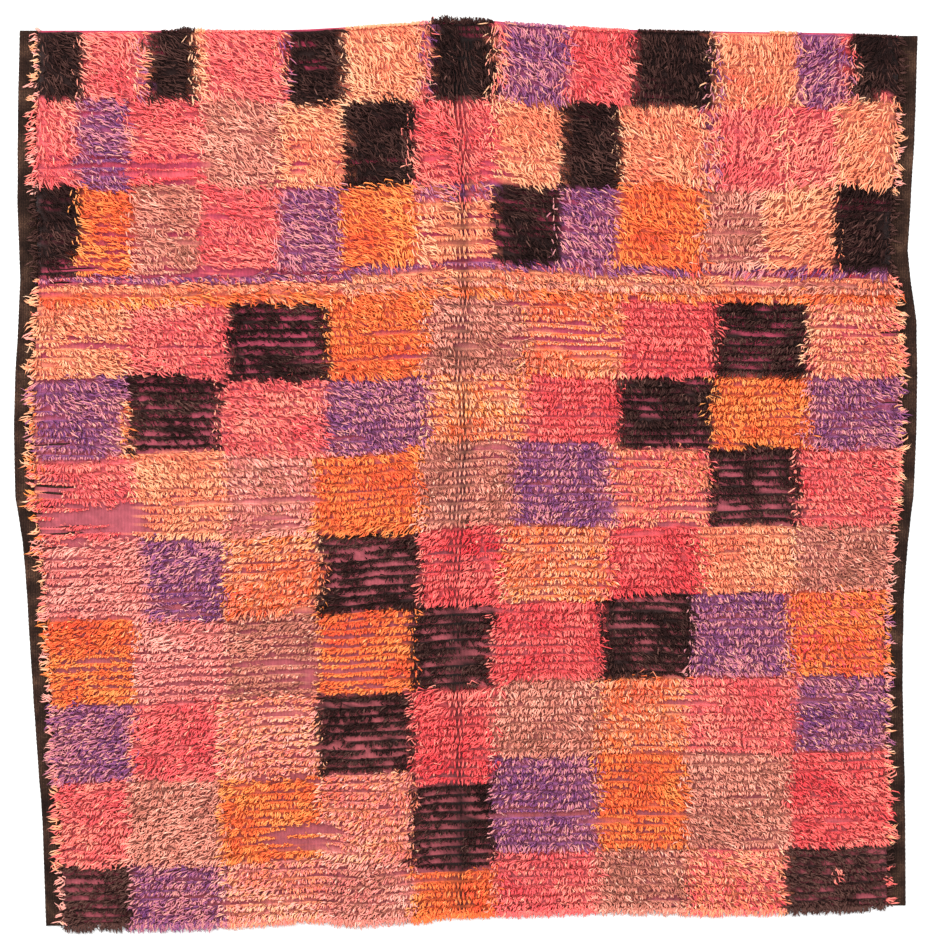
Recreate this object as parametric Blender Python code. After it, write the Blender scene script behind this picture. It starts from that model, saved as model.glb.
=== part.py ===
"""A vintage Moroccan rug lying flat: a knotted wool field and the dark selvedge strip at each side.

Metres, +Z up. The rug lies on z = 0 with its middle at the origin and its head towards +Y.
"""

import math
import random

import bmesh
import bpy
from mathutils import Vector

# Reach of the rug from its middle
HALF_WIDTH = 0.950
HALF_LENGTH = 0.967

# The ground cloth as it lies. A station is a distance up the rug from its middle, and the other
# columns say how far the outer edge of each selvedge lies from the middle line there.
SIDES = (
    # up, left, right
    (0.96, 0.937, 0.950),
    (0.81, 0.941, 0.946),
    (0.70, 0.942, 0.942),
    (0.58, 0.943, 0.935),
    (0.47, 0.939, 0.928),
    (0.41, 0.937, 0.934),
    (0.32, 0.941, 0.947),
    (0.21, 0.947, 0.948),
    (0.11, 0.950, 0.947),
    (0.03, 0.949, 0.944),
    (-0.05, 0.947, 0.940),
    (-0.14, 0.932, 0.929),
    (-0.26, 0.922, 0.920),
    (-0.37, 0.916, 0.918),
    (-0.46, 0.910, 0.918),
    (-0.56, 0.903, 0.920),
    (-0.64, 0.897, 0.922),
    (-0.73, 0.890, 0.923),
    (-0.96, 0.882, 0.924),
)

# The two ends of the cloth. A station is a distance to the right of the middle. The next columns say
# where the cloth ends up and down the rug, and how far the last pile row flops past each end.
ENDS = (
    # right, head, foot, head_lock, foot_lock
    (-0.95, 0.931, -0.950, 0.004, 0.012),
    (-0.84, 0.931, -0.946, 0.005, 0.020),
    (-0.70, 0.931, -0.944, 0.008, 0.021),
    (-0.50, 0.931, -0.938, 0.005, 0.024),
    (-0.35, 0.933, -0.931, 0.008, 0.015),
    (-0.26, 0.938, -0.938, 0.006, 0.020),
    (-0.10, 0.947, -0.927, 0.009, 0.020),
    (-0.06, 0.949, -0.923, 0.018, 0.017),
    (0.06, 0.951, -0.919, 0.018, 0.017),
    (0.11, 0.945, -0.917, 0.008, 0.019),
    (0.28, 0.934, -0.912, 0.006, 0.017),
    (0.38, 0.932, -0.912, 0.012, 0.018),
    (0.53, 0.929, -0.914, 0.007, 0.020),
    (0.80, 0.925, -0.911, 0.009, 0.016),
    (0.95, 0.918, -0.904, 0.004, 0.010),
)

# Pile rows. v runs from 0 at the head to 1 at the foot.
ROWS = 104
CREST_SHARE = 0.72
ROW_SLANT = 0.012
SLANT_STARTS = 0.36
ROW_WAVE = 0.0022
ROW_WAVES = (
    # radians for each metre across, radians from head to foot
    (23, 61),
    (9, -47),
)
STRAIGHT_END_SHARE = 0.05
PILE = (
    # v, crest, drop from the crest to the valley below it
    (0.000, 0.0175, 0.0040),
    (0.262, 0.0180, 0.0040),
    (0.274, 0.0100, 0.0050),
    (0.286, 0.0095, 0.0050),
    (0.298, 0.0170, 0.0060),
    (0.400, 0.0155, 0.0055),
    (0.560, 0.0140, 0.0062),
    (0.720, 0.0142, 0.0066),
    (0.880, 0.0150, 0.0062),
    (1.000, 0.0150, 0.0055),
)

# Places where the pile stands taller or is worn thin
PATCHES = (
    # right, up, half_width, half_length, lift
    (0.000, 0.930, 0.075, 0.060, 0.0045),
    (0.435, 0.850, 0.090, 0.075, 0.0025),
    (-0.240, 0.350, 0.120, 0.080, 0.0015),
    (-0.790, -0.100, 0.110, 0.030, -0.0055),
    (-0.350, -0.760, 0.110, 0.035, -0.0060),
    (-0.400, -0.600, 0.110, 0.070, -0.0030),
    (0.110, -0.720, 0.160, 0.016, -0.0055),
    (0.180, 0.350, 0.130, 0.040, -0.0025),
    (0.270, 0.050, 0.110, 0.080, 0.0015),
)

# The parted pile down the middle
CREASE_X = -0.008
CREASE_HALF_WIDTH = 0.020
CREASE_DEPTH = 0.0045
CREASE_SHARES = (0.473, 0.4956, 0.518)

# Columns of points across the field, as shares of its width
SHOULDER_SHARE = 0.012
COLUMN_SHARES = (
    (0.0, SHOULDER_SHARE, 0.06, 0.135, 0.215, 0.295, 0.37, 0.43)
    + CREASE_SHARES
    + (0.58, 0.66, 0.745, 0.83, 0.92, 1.0 - SHOULDER_SHARE, 1.0)
)

# Unevenness of the pile
LUMP_HEIGHT = 0.0020
LUMP_WAVES = (
    # radians for each metre across and up
    (17, 5),
    (-7, 13),
)
TUFT_HEIGHT = 0.0011
SEED = 7

# Rim
WALL_HEIGHT = 0.0056
SHOULDER_DROP = 0.0045
SHOULDER_LEAST = 0.0071
END_RIM_HEIGHT = 0.0070
END_PITCHES = 62
END_LOCK_SHARE = 0.64
END_EDGE_WAVE = 0.0012
WALL_EVERY = 5

# Locks over the selvedges on two rows of every three, and locks past the two ends
SIDE_LOCK_LENGTH = (0.011, 0.030)
SIDE_LOCK_LEAN = (0.0012, 0.0060)
SIDE_TIP_LOW = 0.0058
SIDE_TIP_HIGH = 0.0078
LOCK_EVERY = 3
CORNER_ROWS = 2
END_LOCK_RANGE = (0.65, 1.25)
END_LOCK_LEAN = 0.3
END_TIP_HIGH = 0.0026
TIP_SHARE = 0.34

# Selvedges
SELVEDGE_WIDTH = 0.040
GAP = 0.0004
SELVEDGE_WAVE = 0.0009
SELVEDGE_SECTION = (
    # share of the width, counted outwards, and height
    (0.00, 0.0026),
    (0.16, 0.0034),
    (0.32, 0.0027),
    (0.48, 0.0034),
    (0.64, 0.0027),
    (0.82, 0.0042),
    (0.95, 0.0034),
    (1.00, 0.0018),
)

# Colours, linear
WOOL = (0.72, 0.20, 0.13, 1.0)
GOAT_HAIR = (0.030, 0.018, 0.014, 1.0)
LEFT = -1
RIGHT = 1


def along(table, at, column):
    """The value of one column of a table at a station, in a straight line between its rows."""
    rows = sorted(table)
    if at <= rows[0][0]:
        return rows[0][column]
    for low, high in zip(rows, rows[1:]):
        if at <= high[0]:
            share = (at - low[0]) / (high[0] - low[0])
            return low[column] + share * (high[column] - low[column])
    return rows[-1][column]


def row_place(u, v):
    """How far up the rug a point of the field lies: u across from the left, v down from the head."""
    right = (2 * u - 1) * (HALF_WIDTH - SELVEDGE_WIDTH)
    head = along(ENDS, right, 1)
    foot = along(ENDS, right, 2)
    bend = max(0.0, (v - SLANT_STARTS) / (1 - SLANT_STARTS))
    slant = ROW_SLANT * math.sin(math.pi * bend) * (2 * u - 1)
    inside = min(1.0, v / STRAIGHT_END_SHARE, (1 - v) / STRAIGHT_END_SHARE)
    wave = ROW_WAVE * inside
    for across, down in ROW_WAVES:
        wave *= math.sin(across * right + down * v)
    return head + (foot - head) * v + slant + wave


def wall_stations(side):
    """The corners of the field's side wall, as (up, right), at every few pile rows."""
    u = 0.0 if side == LEFT else 1.0
    column = 1 if side == LEFT else 2
    stations = []
    for row in sorted({*range(0, ROWS, WALL_EVERY), ROWS}):
        up = row_place(u, row / ROWS)
        stations.append((up, side * (along(SIDES, up, column) - SELVEDGE_WIDTH)))
    return stations


def patch_lift(right, up):
    """How much the taller and worn places change the pile's height at a point."""
    lift = 0.0
    for centre_right, centre_up, half_width, half_length, height in PATCHES:
        across = (right - centre_right) / half_width
        down = (up - centre_up) / half_length
        lift += height * math.exp(-(across**4) - down**4)
    return lift


def pile_top(right, up, v, on_crest, chance):
    """Height of the pile at a point of the field."""
    height = along(PILE, v, 1) + patch_lift(right, up)
    lump = LUMP_HEIGHT
    for across, along_rug in LUMP_WAVES:
        lump *= math.sin(across * right + along_rug * up)
    height += lump + TUFT_HEIGHT * chance.uniform(-1, 1)
    if not on_crest:
        height -= along(PILE, v, 2)
    crease = (right - CREASE_X) / CREASE_HALF_WIDTH
    height -= CREASE_DEPTH * math.exp(-(crease**2))
    return max(height, WALL_HEIGHT)


def zip_strip(mesh, near, far):
    """Fills the strip between two open runs of points, of any two lengths, with triangles."""
    i = 0
    j = 0
    while i < len(near) - 1 or j < len(far) - 1:
        next_near = (i + 1) / (len(near) - 1) if i < len(near) - 1 else 2.0
        next_far = (j + 1) / (len(far) - 1) if j < len(far) - 1 else 2.0
        if next_near <= next_far:
            mesh.faces.new((near[i], near[i + 1], far[j]))
            i += 1
        else:
            mesh.faces.new((near[i], far[j + 1], far[j]))
            j += 1


def add_lock(mesh, root, reach, low, high):
    """A four-sided tapering lock. The root's points are two below and then two above, and the tip is
    reached by moving the root's middle by a vector."""
    middle = sum((point.co for point in root), Vector()) / len(root)
    half = 0.5 * TIP_SHARE * (root[1].co - root[0].co)
    tip = []
    for toward, height in ((-1, low), (1, low), (1, high), (-1, high)):
        place = middle + reach + toward * half
        tip.append(mesh.verts.new((place.x, place.y, height)))
    for start in range(4):
        end = (start + 1) % 4
        mesh.faces.new((root[start], root[end], tip[end], tip[start]))
    mesh.faces.new(tip)


def pile_grid(mesh, chance):
    """Points of the pile's top, a valley and a crest for each row, from side wall to side wall."""
    walls = {side: wall_stations(side) for side in (LEFT, RIGHT)}
    grid = []
    for row in range(ROWS):
        for share, on_crest in ((0.0, False), (CREST_SHARE, True)):
            v = (row + share) / ROWS
            if v == 0.0:
                continue
            line = []
            for u in COLUMN_SHARES:
                up = row_place(u, v)
                left = along(walls[LEFT], up, 1)
                right = along(walls[RIGHT], up, 1)
                place = left + (right - left) * u
                height = pile_top(place, up, v, on_crest, chance)
                if u in (0.0, 1.0):
                    height = max(height - SHOULDER_DROP, SHOULDER_LEAST)
                line.append(mesh.verts.new((place, up, height)))
            grid.append(line)
    for upper, lower in zip(grid, grid[1:]):
        for column in range(len(COLUMN_SHARES) - 1):
            mesh.faces.new((upper[column], upper[column + 1], lower[column + 1], lower[column]))
    return grid


def side_wall(mesh, grid, side, chance):
    """One side wall with its locks. Returns its points on the floor and its two upper corners."""
    column = 0 if side == LEFT else -1
    stations = wall_stations(side)
    tops = [line[column] for line in grid]
    heights = [stations[0][0]] + [top.co.y for top in tops] + [stations[-1][0]]
    wall = [mesh.verts.new((along(stations, up, 1), up, WALL_HEIGHT)) for up in heights]
    floor = [mesh.verts.new((right, up, 0.0)) for up, right in stations]
    mesh.faces.new((wall[0], wall[1], tops[0]))
    mesh.faces.new((wall[-1], wall[-2], tops[-1]))
    for index, (top, next_top) in enumerate(zip(tops, tops[1:])):
        quad = (wall[index + 1], wall[index + 2], next_top, top)
        row, on_crest = divmod(index + 1, 2)
        near_corner = not CORNER_ROWS <= row < ROWS - CORNER_ROWS
        if on_crest or near_corner or (row + side) % LOCK_EVERY == 0:
            mesh.faces.new(quad)
            continue
        length = chance.uniform(*SIDE_LOCK_LENGTH)
        reach = Vector((side * length, -chance.uniform(*SIDE_LOCK_LEAN), 0.0))
        add_lock(mesh, quad, reach, SIDE_TIP_LOW, SIDE_TIP_HIGH)
    for index, (low, next_low) in enumerate(zip(floor, floor[1:])):
        first = 2 * WALL_EVERY * index
        last = min(first + 2 * WALL_EVERY, len(wall) - 1)
        zip_strip(mesh, wall[first : last + 1], [low, next_low])
    return floor, (wall[0], wall[-1])


def end_wall(mesh, line, corners, floor_corners, end, chance):
    """The wall across the head or foot with its locks lying on the floor. Returns its points there."""
    column, lock_column = (1, 3) if end > 0 else (2, 4)
    left = corners[0].co.x
    width = corners[1].co.x - left
    rim = [corners[0]]
    floor = [floor_corners[0]]
    for pitch in range(END_PITCHES):
        for share in (0.5 - END_LOCK_SHARE / 2, 0.5 + END_LOCK_SHARE / 2):
            right = left + width * (pitch + share) / END_PITCHES
            up = along(ENDS, right, column) + chance.uniform(-END_EDGE_WAVE, END_EDGE_WAVE)
            rim.append(mesh.verts.new((right, up, END_RIM_HEIGHT)))
            floor.append(mesh.verts.new((right, up, 0.0)))
    rim.append(corners[1])
    floor.append(floor_corners[1])
    zip_strip(mesh, rim, line)
    for index in range(len(rim) - 1):
        quad = (floor[index], floor[index + 1], rim[index + 1], rim[index])
        if index % 2 == 0:
            mesh.faces.new(quad)
            continue
        middle = 0.5 * (rim[index].co + rim[index + 1].co)
        length = along(ENDS, middle.x, lock_column) * chance.uniform(*END_LOCK_RANGE)
        length = min(length, HALF_LENGTH - abs(middle.y))
        lean = chance.uniform(-END_LOCK_LEAN, END_LOCK_LEAN) * length
        reach = Vector((lean, end * length, 0.0))
        add_lock(mesh, quad, reach, 0.0, END_TIP_HIGH)
    return floor


def build_field():
    """The knotted field: flat underneath, with its pile rows raised and locks all round its rim."""
    chance = random.Random(SEED)
    mesh = bmesh.new()
    grid = pile_grid(mesh, chance)
    left_floor, left_corners = side_wall(mesh, grid, LEFT, chance)
    right_floor, right_corners = side_wall(mesh, grid, RIGHT, chance)
    heads = (left_corners[0], right_corners[0])
    feet = (left_corners[1], right_corners[1])
    head = end_wall(mesh, grid[0], heads, (left_floor[0], right_floor[0]), 1, chance)
    foot = end_wall(mesh, grid[-1], feet, (left_floor[-1], right_floor[-1]), -1, chance)
    mesh.faces.new(left_floor + foot[1:-1] + right_floor[::-1] + head[-2:0:-1])
    return finished("field", mesh, WOOL)


def build_selvedge(name, side):
    """One flat dark strip of warp cords, lying along the field's side wall."""
    chance = random.Random(SEED + side)
    column = 1 if side == LEFT else 2
    stations = wall_stations(side)
    mesh = bmesh.new()
    rings = []
    for index in range(2 * len(stations) - 1):
        low, high = stations[index // 2], stations[(index + 1) // 2]
        up = 0.5 * (low[0] + high[0])
        inner = 0.5 * (low[1] + high[1]) + side * GAP
        outer = side * (along(SIDES, up, column) - chance.uniform(0, SELVEDGE_WAVE))
        ring = [mesh.verts.new((inner, up, 0.0))]
        for share, height in SELVEDGE_SECTION:
            ring.append(mesh.verts.new((inner + (outer - inner) * share, up, height)))
        ring.append(mesh.verts.new((outer, up, 0.0)))
        rings.append(ring)
    for ring, next_ring in zip(rings, rings[1:]):
        for point in range(len(ring)):
            after = (point + 1) % len(ring)
            mesh.faces.new((ring[point], ring[after], next_ring[after], next_ring[point]))
    mesh.faces.new(rings[0])
    mesh.faces.new(rings[-1])
    return finished(name, mesh, GOAT_HAIR)


def finished(name, mesh, color):
    """The object made from a mesh, with its faces turned outwards and its own matt material."""
    bmesh.ops.recalc_face_normals(mesh, faces=mesh.faces)
    data = bpy.data.meshes.new(name)
    mesh.to_mesh(data)
    mesh.free()
    material = bpy.data.materials.new(name)
    material.use_nodes = True
    shader = material.node_tree.nodes["Principled BSDF"]
    shader.inputs["Base Color"].default_value = color
    shader.inputs["Roughness"].default_value = 0.95
    data.materials.append(material)
    thing = bpy.data.objects.new(name, data)
    bpy.context.scene.collection.objects.link(thing)
    return thing


def centre_on_origin(things):
    """Moves the rug in the floor's plane until its box is centred on the origin."""
    points = [vertex.co for thing in things for vertex in thing.data.vertices]
    across = 0.5 * (min(p.x for p in points) + max(p.x for p in points))
    up = 0.5 * (min(p.y for p in points) + max(p.y for p in points))
    for thing in things:
        thing.location = (-across, -up, 0.0)


for leftover in list(bpy.data.objects):
    bpy.data.objects.remove(leftover)
centre_on_origin(
    [
        build_field(),
        build_selvedge("selvedge_left", LEFT),
        build_selvedge("selvedge_right", RIGHT),
    ]
)
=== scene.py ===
"""The looks of a vintage Moroccan rug: its knotted wool pile, the woven ground and the dark selvedges.

Metres, +Z up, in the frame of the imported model. The rug lies flat with its head towards +Y.
"""

import math

import bpy
import numpy as np
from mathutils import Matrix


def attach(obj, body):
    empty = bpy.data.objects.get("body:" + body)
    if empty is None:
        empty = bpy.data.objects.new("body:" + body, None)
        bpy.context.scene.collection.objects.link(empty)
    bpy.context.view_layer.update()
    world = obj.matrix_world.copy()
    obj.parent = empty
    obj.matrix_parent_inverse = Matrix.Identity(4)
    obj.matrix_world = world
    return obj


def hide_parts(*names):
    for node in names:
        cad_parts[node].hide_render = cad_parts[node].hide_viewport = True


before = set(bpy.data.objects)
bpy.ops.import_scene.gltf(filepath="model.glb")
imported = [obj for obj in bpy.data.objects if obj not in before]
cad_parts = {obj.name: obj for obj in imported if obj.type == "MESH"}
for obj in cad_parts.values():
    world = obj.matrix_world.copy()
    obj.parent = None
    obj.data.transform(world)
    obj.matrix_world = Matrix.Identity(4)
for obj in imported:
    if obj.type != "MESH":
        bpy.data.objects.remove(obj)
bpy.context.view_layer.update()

# Reach of the rug and its side strips, as in the solids
HALF_WIDTH = 0.950
HALF_LENGTH = 0.967
SELVEDGE_WIDTH = 0.040
GAP = 0.0004

# Units of the charted tables
CM_IN_M = 100
MM_IN_M = 1000

# Outer edges of the selvedges along the rug, as in the solids
SIDES = (
    # up, left, right
    (0.96, 0.937, 0.950),
    (0.81, 0.941, 0.946),
    (0.70, 0.942, 0.942),
    (0.58, 0.943, 0.935),
    (0.47, 0.939, 0.928),
    (0.41, 0.937, 0.934),
    (0.32, 0.941, 0.947),
    (0.21, 0.947, 0.948),
    (0.11, 0.950, 0.947),
    (0.03, 0.949, 0.944),
    (-0.05, 0.947, 0.940),
    (-0.14, 0.932, 0.929),
    (-0.26, 0.922, 0.920),
    (-0.37, 0.916, 0.918),
    (-0.46, 0.910, 0.918),
    (-0.56, 0.903, 0.920),
    (-0.64, 0.897, 0.922),
    (-0.73, 0.890, 0.923),
    (-0.96, 0.882, 0.924),
)

# The cloth's two ends, and how far the pile flops past each, as in the solids
ENDS = (
    # right, head, foot, head_lock, foot_lock
    (-0.95, 0.931, -0.950, 0.004, 0.012),
    (-0.84, 0.931, -0.946, 0.005, 0.020),
    (-0.70, 0.931, -0.944, 0.008, 0.021),
    (-0.50, 0.931, -0.938, 0.005, 0.024),
    (-0.35, 0.933, -0.931, 0.008, 0.015),
    (-0.26, 0.938, -0.938, 0.006, 0.020),
    (-0.10, 0.947, -0.927, 0.009, 0.020),
    (-0.06, 0.949, -0.923, 0.018, 0.017),
    (0.06, 0.951, -0.919, 0.018, 0.017),
    (0.11, 0.945, -0.917, 0.008, 0.019),
    (0.28, 0.934, -0.912, 0.006, 0.017),
    (0.38, 0.932, -0.912, 0.012, 0.018),
    (0.53, 0.929, -0.914, 0.007, 0.020),
    (0.80, 0.925, -0.911, 0.009, 0.016),
    (0.95, 0.918, -0.904, 0.004, 0.010),
)

# Pile rows, as in the solids
ROWS = 104
ROW_SLANT = 0.012
SLANT_STARTS = 0.36
ROW_WAVE = 0.0022
ROW_WAVES = (
    # radians for each metre across, radians from head to foot
    (23, 61),
    (9, -47),
)
STRAIGHT_END_SHARE = 0.05
ROW_PITCH = 0.018
WALL_EVERY = 5

# The blocks of colour. Each dye is a letter, and a block of two or more letters mixes them tuft by
# tuft: K black-brown, C coral, R red coral, P apricot, S salmon, O orange, V violet, T rose-tan.
# Right edges are in centimetres from the middle. Tone moves a block towards its dye's pale end.
BLOCKS = (
    # first row, row after the last, ((dyes, right edge, tone), ...)
    (0, 9, (
        ("K", -80.5, 0), ("C", -69.3, 0), ("VPC", -66.6, 0), ("K", -56.5, 0),
        ("P", -54.4, 0.1), ("C", -39.0, 0), ("PVC", -36.8, 0), ("K", -25.4, 0), ("P", -10.0, 0.1),
        ("CPV", -7.1, 0.1), ("K", 6.1, 0), ("CP", 8.2, 0), ("V", 21.4, 0), ("RC", 35.1, 0),
        ("K", 51.6, 0), ("PV", 53.8, 0), ("P", 69.4, 0), ("V", 79.4, 0), ("CR", 80.9, 0), ("K", 96, 0),
    )),
    (9, 19, (
        ("C", -81.6, 0.1), ("V", -70.6, 0), ("C", -55.0, 0), ("T", -39.1, 0), ("P", -25.6, 0),
        ("K", -11.2, 0), ("CR", 6.3, 0), ("P", 20.2, 0), ("K", 32.3, 0), ("P", 49.6, 0),
        ("VCP", 53.3, 0), ("C", 66.2, 0), ("P", 67.2, 0), ("C", 77.5, 0), ("P", 96, 0),
    )),
    (19, 29, (
        ("K", -81.4, 0), ("O", -70.0, 0), ("T", -56.3, 0), ("C", -39.4, 0), ("V", -26.0, 0),
        ("O", -10.1, 0), ("P", 5.8, 0), ("K", 19.6, 0), ("V", 31.6, 0), ("O", 49.9, 0),
        ("T", 62.6, 0), ("P", 77.3, 0), ("K", 96, 0),
    )),
    (29, 30, (("VVVVVC", 96, -0.05),)),
    (30, 31, (("P", 96, -0.05),)),
    (31, 32, (("TTP", 96, 0.05),)),
    (32, 33, (("OOOP", 96, 0),)),
    (33, 41, (
        ("P", -71.4, 0), ("C", -50.0, 0), ("K", -29.0, 0), ("O", -8.4, 0), ("T", 12.4, 0),
        ("PPO", 32.3, 0), ("R", 52.2, 0), ("K", 71.4, 0), ("PPC", 96, 0),
    )),
    (41, 50, (
        ("V", -71.2, 0), ("K", -51.4, 0), ("C", -29.5, 0), ("V", -8.0, 0), ("PPO", 12.5, 0),
        ("R", 31.8, 0), ("K", 51.4, 0), ("O", 72.0, 0), ("V", 96, 0),
    )),
    (50, 59, (
        ("C", -70.5, 0), ("P", -50.8, 0), ("TS", -31.7, 0), ("O", -9.8, 0), ("T", 10.2, -0.1),
        ("V", 30.8, 0), ("PC", 50.8, 0), ("K", 70.0, 0), ("CR", 96, 0),
    )),
    (59, 68, (
        ("S", -67.4, 0), ("V", -50.9, 0), ("PPO", -30.8, 0), ("K", -9.8, 0), ("R", 7.9, 0),
        ("PPO", 30.1, 0.1), ("R", 49.3, 0), ("P", 69.2, 0), ("T", 96, -0.1),
    )),
    (68, 78, (
        ("O", -70.0, 0), ("S", -50.8, 0), ("T", -31.1, 0), ("O", -11.3, 0), ("K", 5.5, 0),
        ("R", 28.1, 0), ("K", 47.3, 0), ("V", 67.8, 0), ("OOOOR", 96, -0.05),
    )),
    (78, 87, (
        ("V", -69.9, 0), ("C", -51.4, 0), ("SP", -30.7, 0), ("K", -11.2, 0), ("R", 5.8, 0),
        ("T", 28.0, 0), ("PPO", 46.0, 0), ("C", 69.2, 0), ("V", 96, 0),
    )),
    (87, 97, (
        ("C", -70.8, 0), ("T", -51.4, 0), ("O", -31.2, 0), ("PS", -11.5, 0), ("K", 5.7, 0),
        ("V", 27.6, 0), ("O", 46.0, 0), ("T", 67.8, 0), ("R", 96, 0),
    )),
    (97, 105, (
        ("K", -70.5, 0.35), ("V", -51.2, 0), ("PS", -30.0, 0), ("TS", -11.5, 0), ("O", 5.8, 0),
        ("C", 27.4, 0), ("T", 46.2, 0), ("PC", 67.0, 0), ("K", 96, 0.35),
    )),
)

# How far the borders between the rows of blocks lie below their pile rows, in millimetres
BAND_SHIFT = ((-90, -13), (90, -13))
BAND_LOW_AT_LEFT = ((-90, -7), (-27, -7), (-22, -13), (90, -13))
BORDER_SHIFTS = (
    # first row below the border, ((centimetres to the right, millimetres down), ...)
    (9, (
        (-87, -19), (-75, -9), (-62, -12), (-47, -12), (-31, 0), (-18, -6), (-1, 6), (13, 0), (27, 4),
        (42, -2), (74, -2), (86, -15),
    )),
    (19, (
        (-87, -17), (-75, -5), (-63, -14), (-47, -8), (-18, -6), (-2, 2), (13, 4), (26, 0), (41, -12),
        (56, 0), (72, -12), (85, -10),
    )),
    (29, BAND_LOW_AT_LEFT),
    (30, BAND_LOW_AT_LEFT),
    (31, BAND_LOW_AT_LEFT),
    (32, BAND_SHIFT),
    (33, BAND_SHIFT),
    (41, ((-82, -8), (-61, -12), (-40, 6), (-19, 4), (22, 6), (42, 6), (62, 0), (82, 2))),
    (50, ((-82, -4), (-61, -20), (-41, -4), (-20, -2), (1, -20), (22, -17), (41, -2), (61, -10), (82, -2))),
    (59, ((-82, 10), (-59, 2), (-21, 8), (20, -2), (40, 4), (60, -2), (81, 2))),
    (68, ((-82, 0), (-59, 10), (-21, 6), (-3, 6), (18, -6), (38, -10), (59, -23), (81, -17))),
    (78, ((-81, 4), (-60, 0), (-21, -6), (-3, -4), (37, -23), (58, -21), (81, -17))),
    (87, ((-82, 0), (-61, -2), (-41, 12), (-12, 0), (-11, 34), (5, 34), (6, -15), (38, -23), (81, -17))),
    (97, ((-82, 0), (-61, 10), (-41, 6), (-12, 6), (-11, 27), (5, 27), (6, 8), (37, 0), (80, 0))),
)

# How many rows past the head and the foot the outermost blocks are taken to go on
FAR_ROWS = 9.0

# Short runs of other dyes inside the blocks, and the share of their tufts that have them
RUN_SHARE = 0.8
RUNS = (
    # first row, row after the last, left, right, dyes
    (19, 21, -0.107, 0.060, "VVC"),
    (43, 50, -0.725, -0.705, "OPP"),
    (43, 50, -0.930, -0.905, "OP"),
    (50, 68, -0.925, -0.890, "PCO"),
    (7, 8, 0.860, 0.905, "PC"),
    (99, 101, 0.780, 0.790, "RC"),
)

# Places worn bare or nearly so
WORN = (
    # right, up, half_width, half_length, how much shorter the pile is
    (-0.783, -0.098, 0.112, 0.040, 0.0135),
    (-0.350, -0.757, 0.105, 0.028, 0.013),
    (-0.300, -0.740, 0.060, 0.012, 0.008),
    (-0.740, 0.642, 0.100, 0.011, 0.010),
    (-0.740, 0.210, 0.060, 0.006, 0.010),
    (-0.330, -0.400, 0.190, 0.085, 0.0078),
    (-0.690, -0.420, 0.230, 0.060, 0.0044),
    (-0.300, -0.180, 0.190, 0.060, 0.0042),
    (-0.320, -0.600, 0.150, 0.070, 0.0055),
    (-0.780, -0.545, 0.085, 0.010, 0.0120),
    (0.285, 0.299, 0.008, 0.040, 0.0150),
    (-0.328, -0.425, 0.013, 0.020, 0.0110),
    (-0.708, -0.092, 0.030, 0.046, 0.0130),
    (0.180, 0.350, 0.100, 0.030, 0.0030),
    (-0.200, 0.655, 0.140, 0.006, 0.010),
    (-0.150, -0.830, 0.200, 0.010, 0.009),
    (-0.420, -0.880, 0.160, 0.009, 0.010),
    (0.060, -0.275, 0.090, 0.008, 0.012),
    (0.400, -0.060, 0.150, 0.010, 0.010),
    (-0.790, -0.415, 0.075, 0.055, 0.0042),
    (-0.386, -0.553, 0.055, 0.060, 0.0040),
    (-0.790, -0.205, 0.075, 0.050, 0.0030),
    (-0.250, -0.840, 0.160, 0.050, 0.0026),
)

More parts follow.
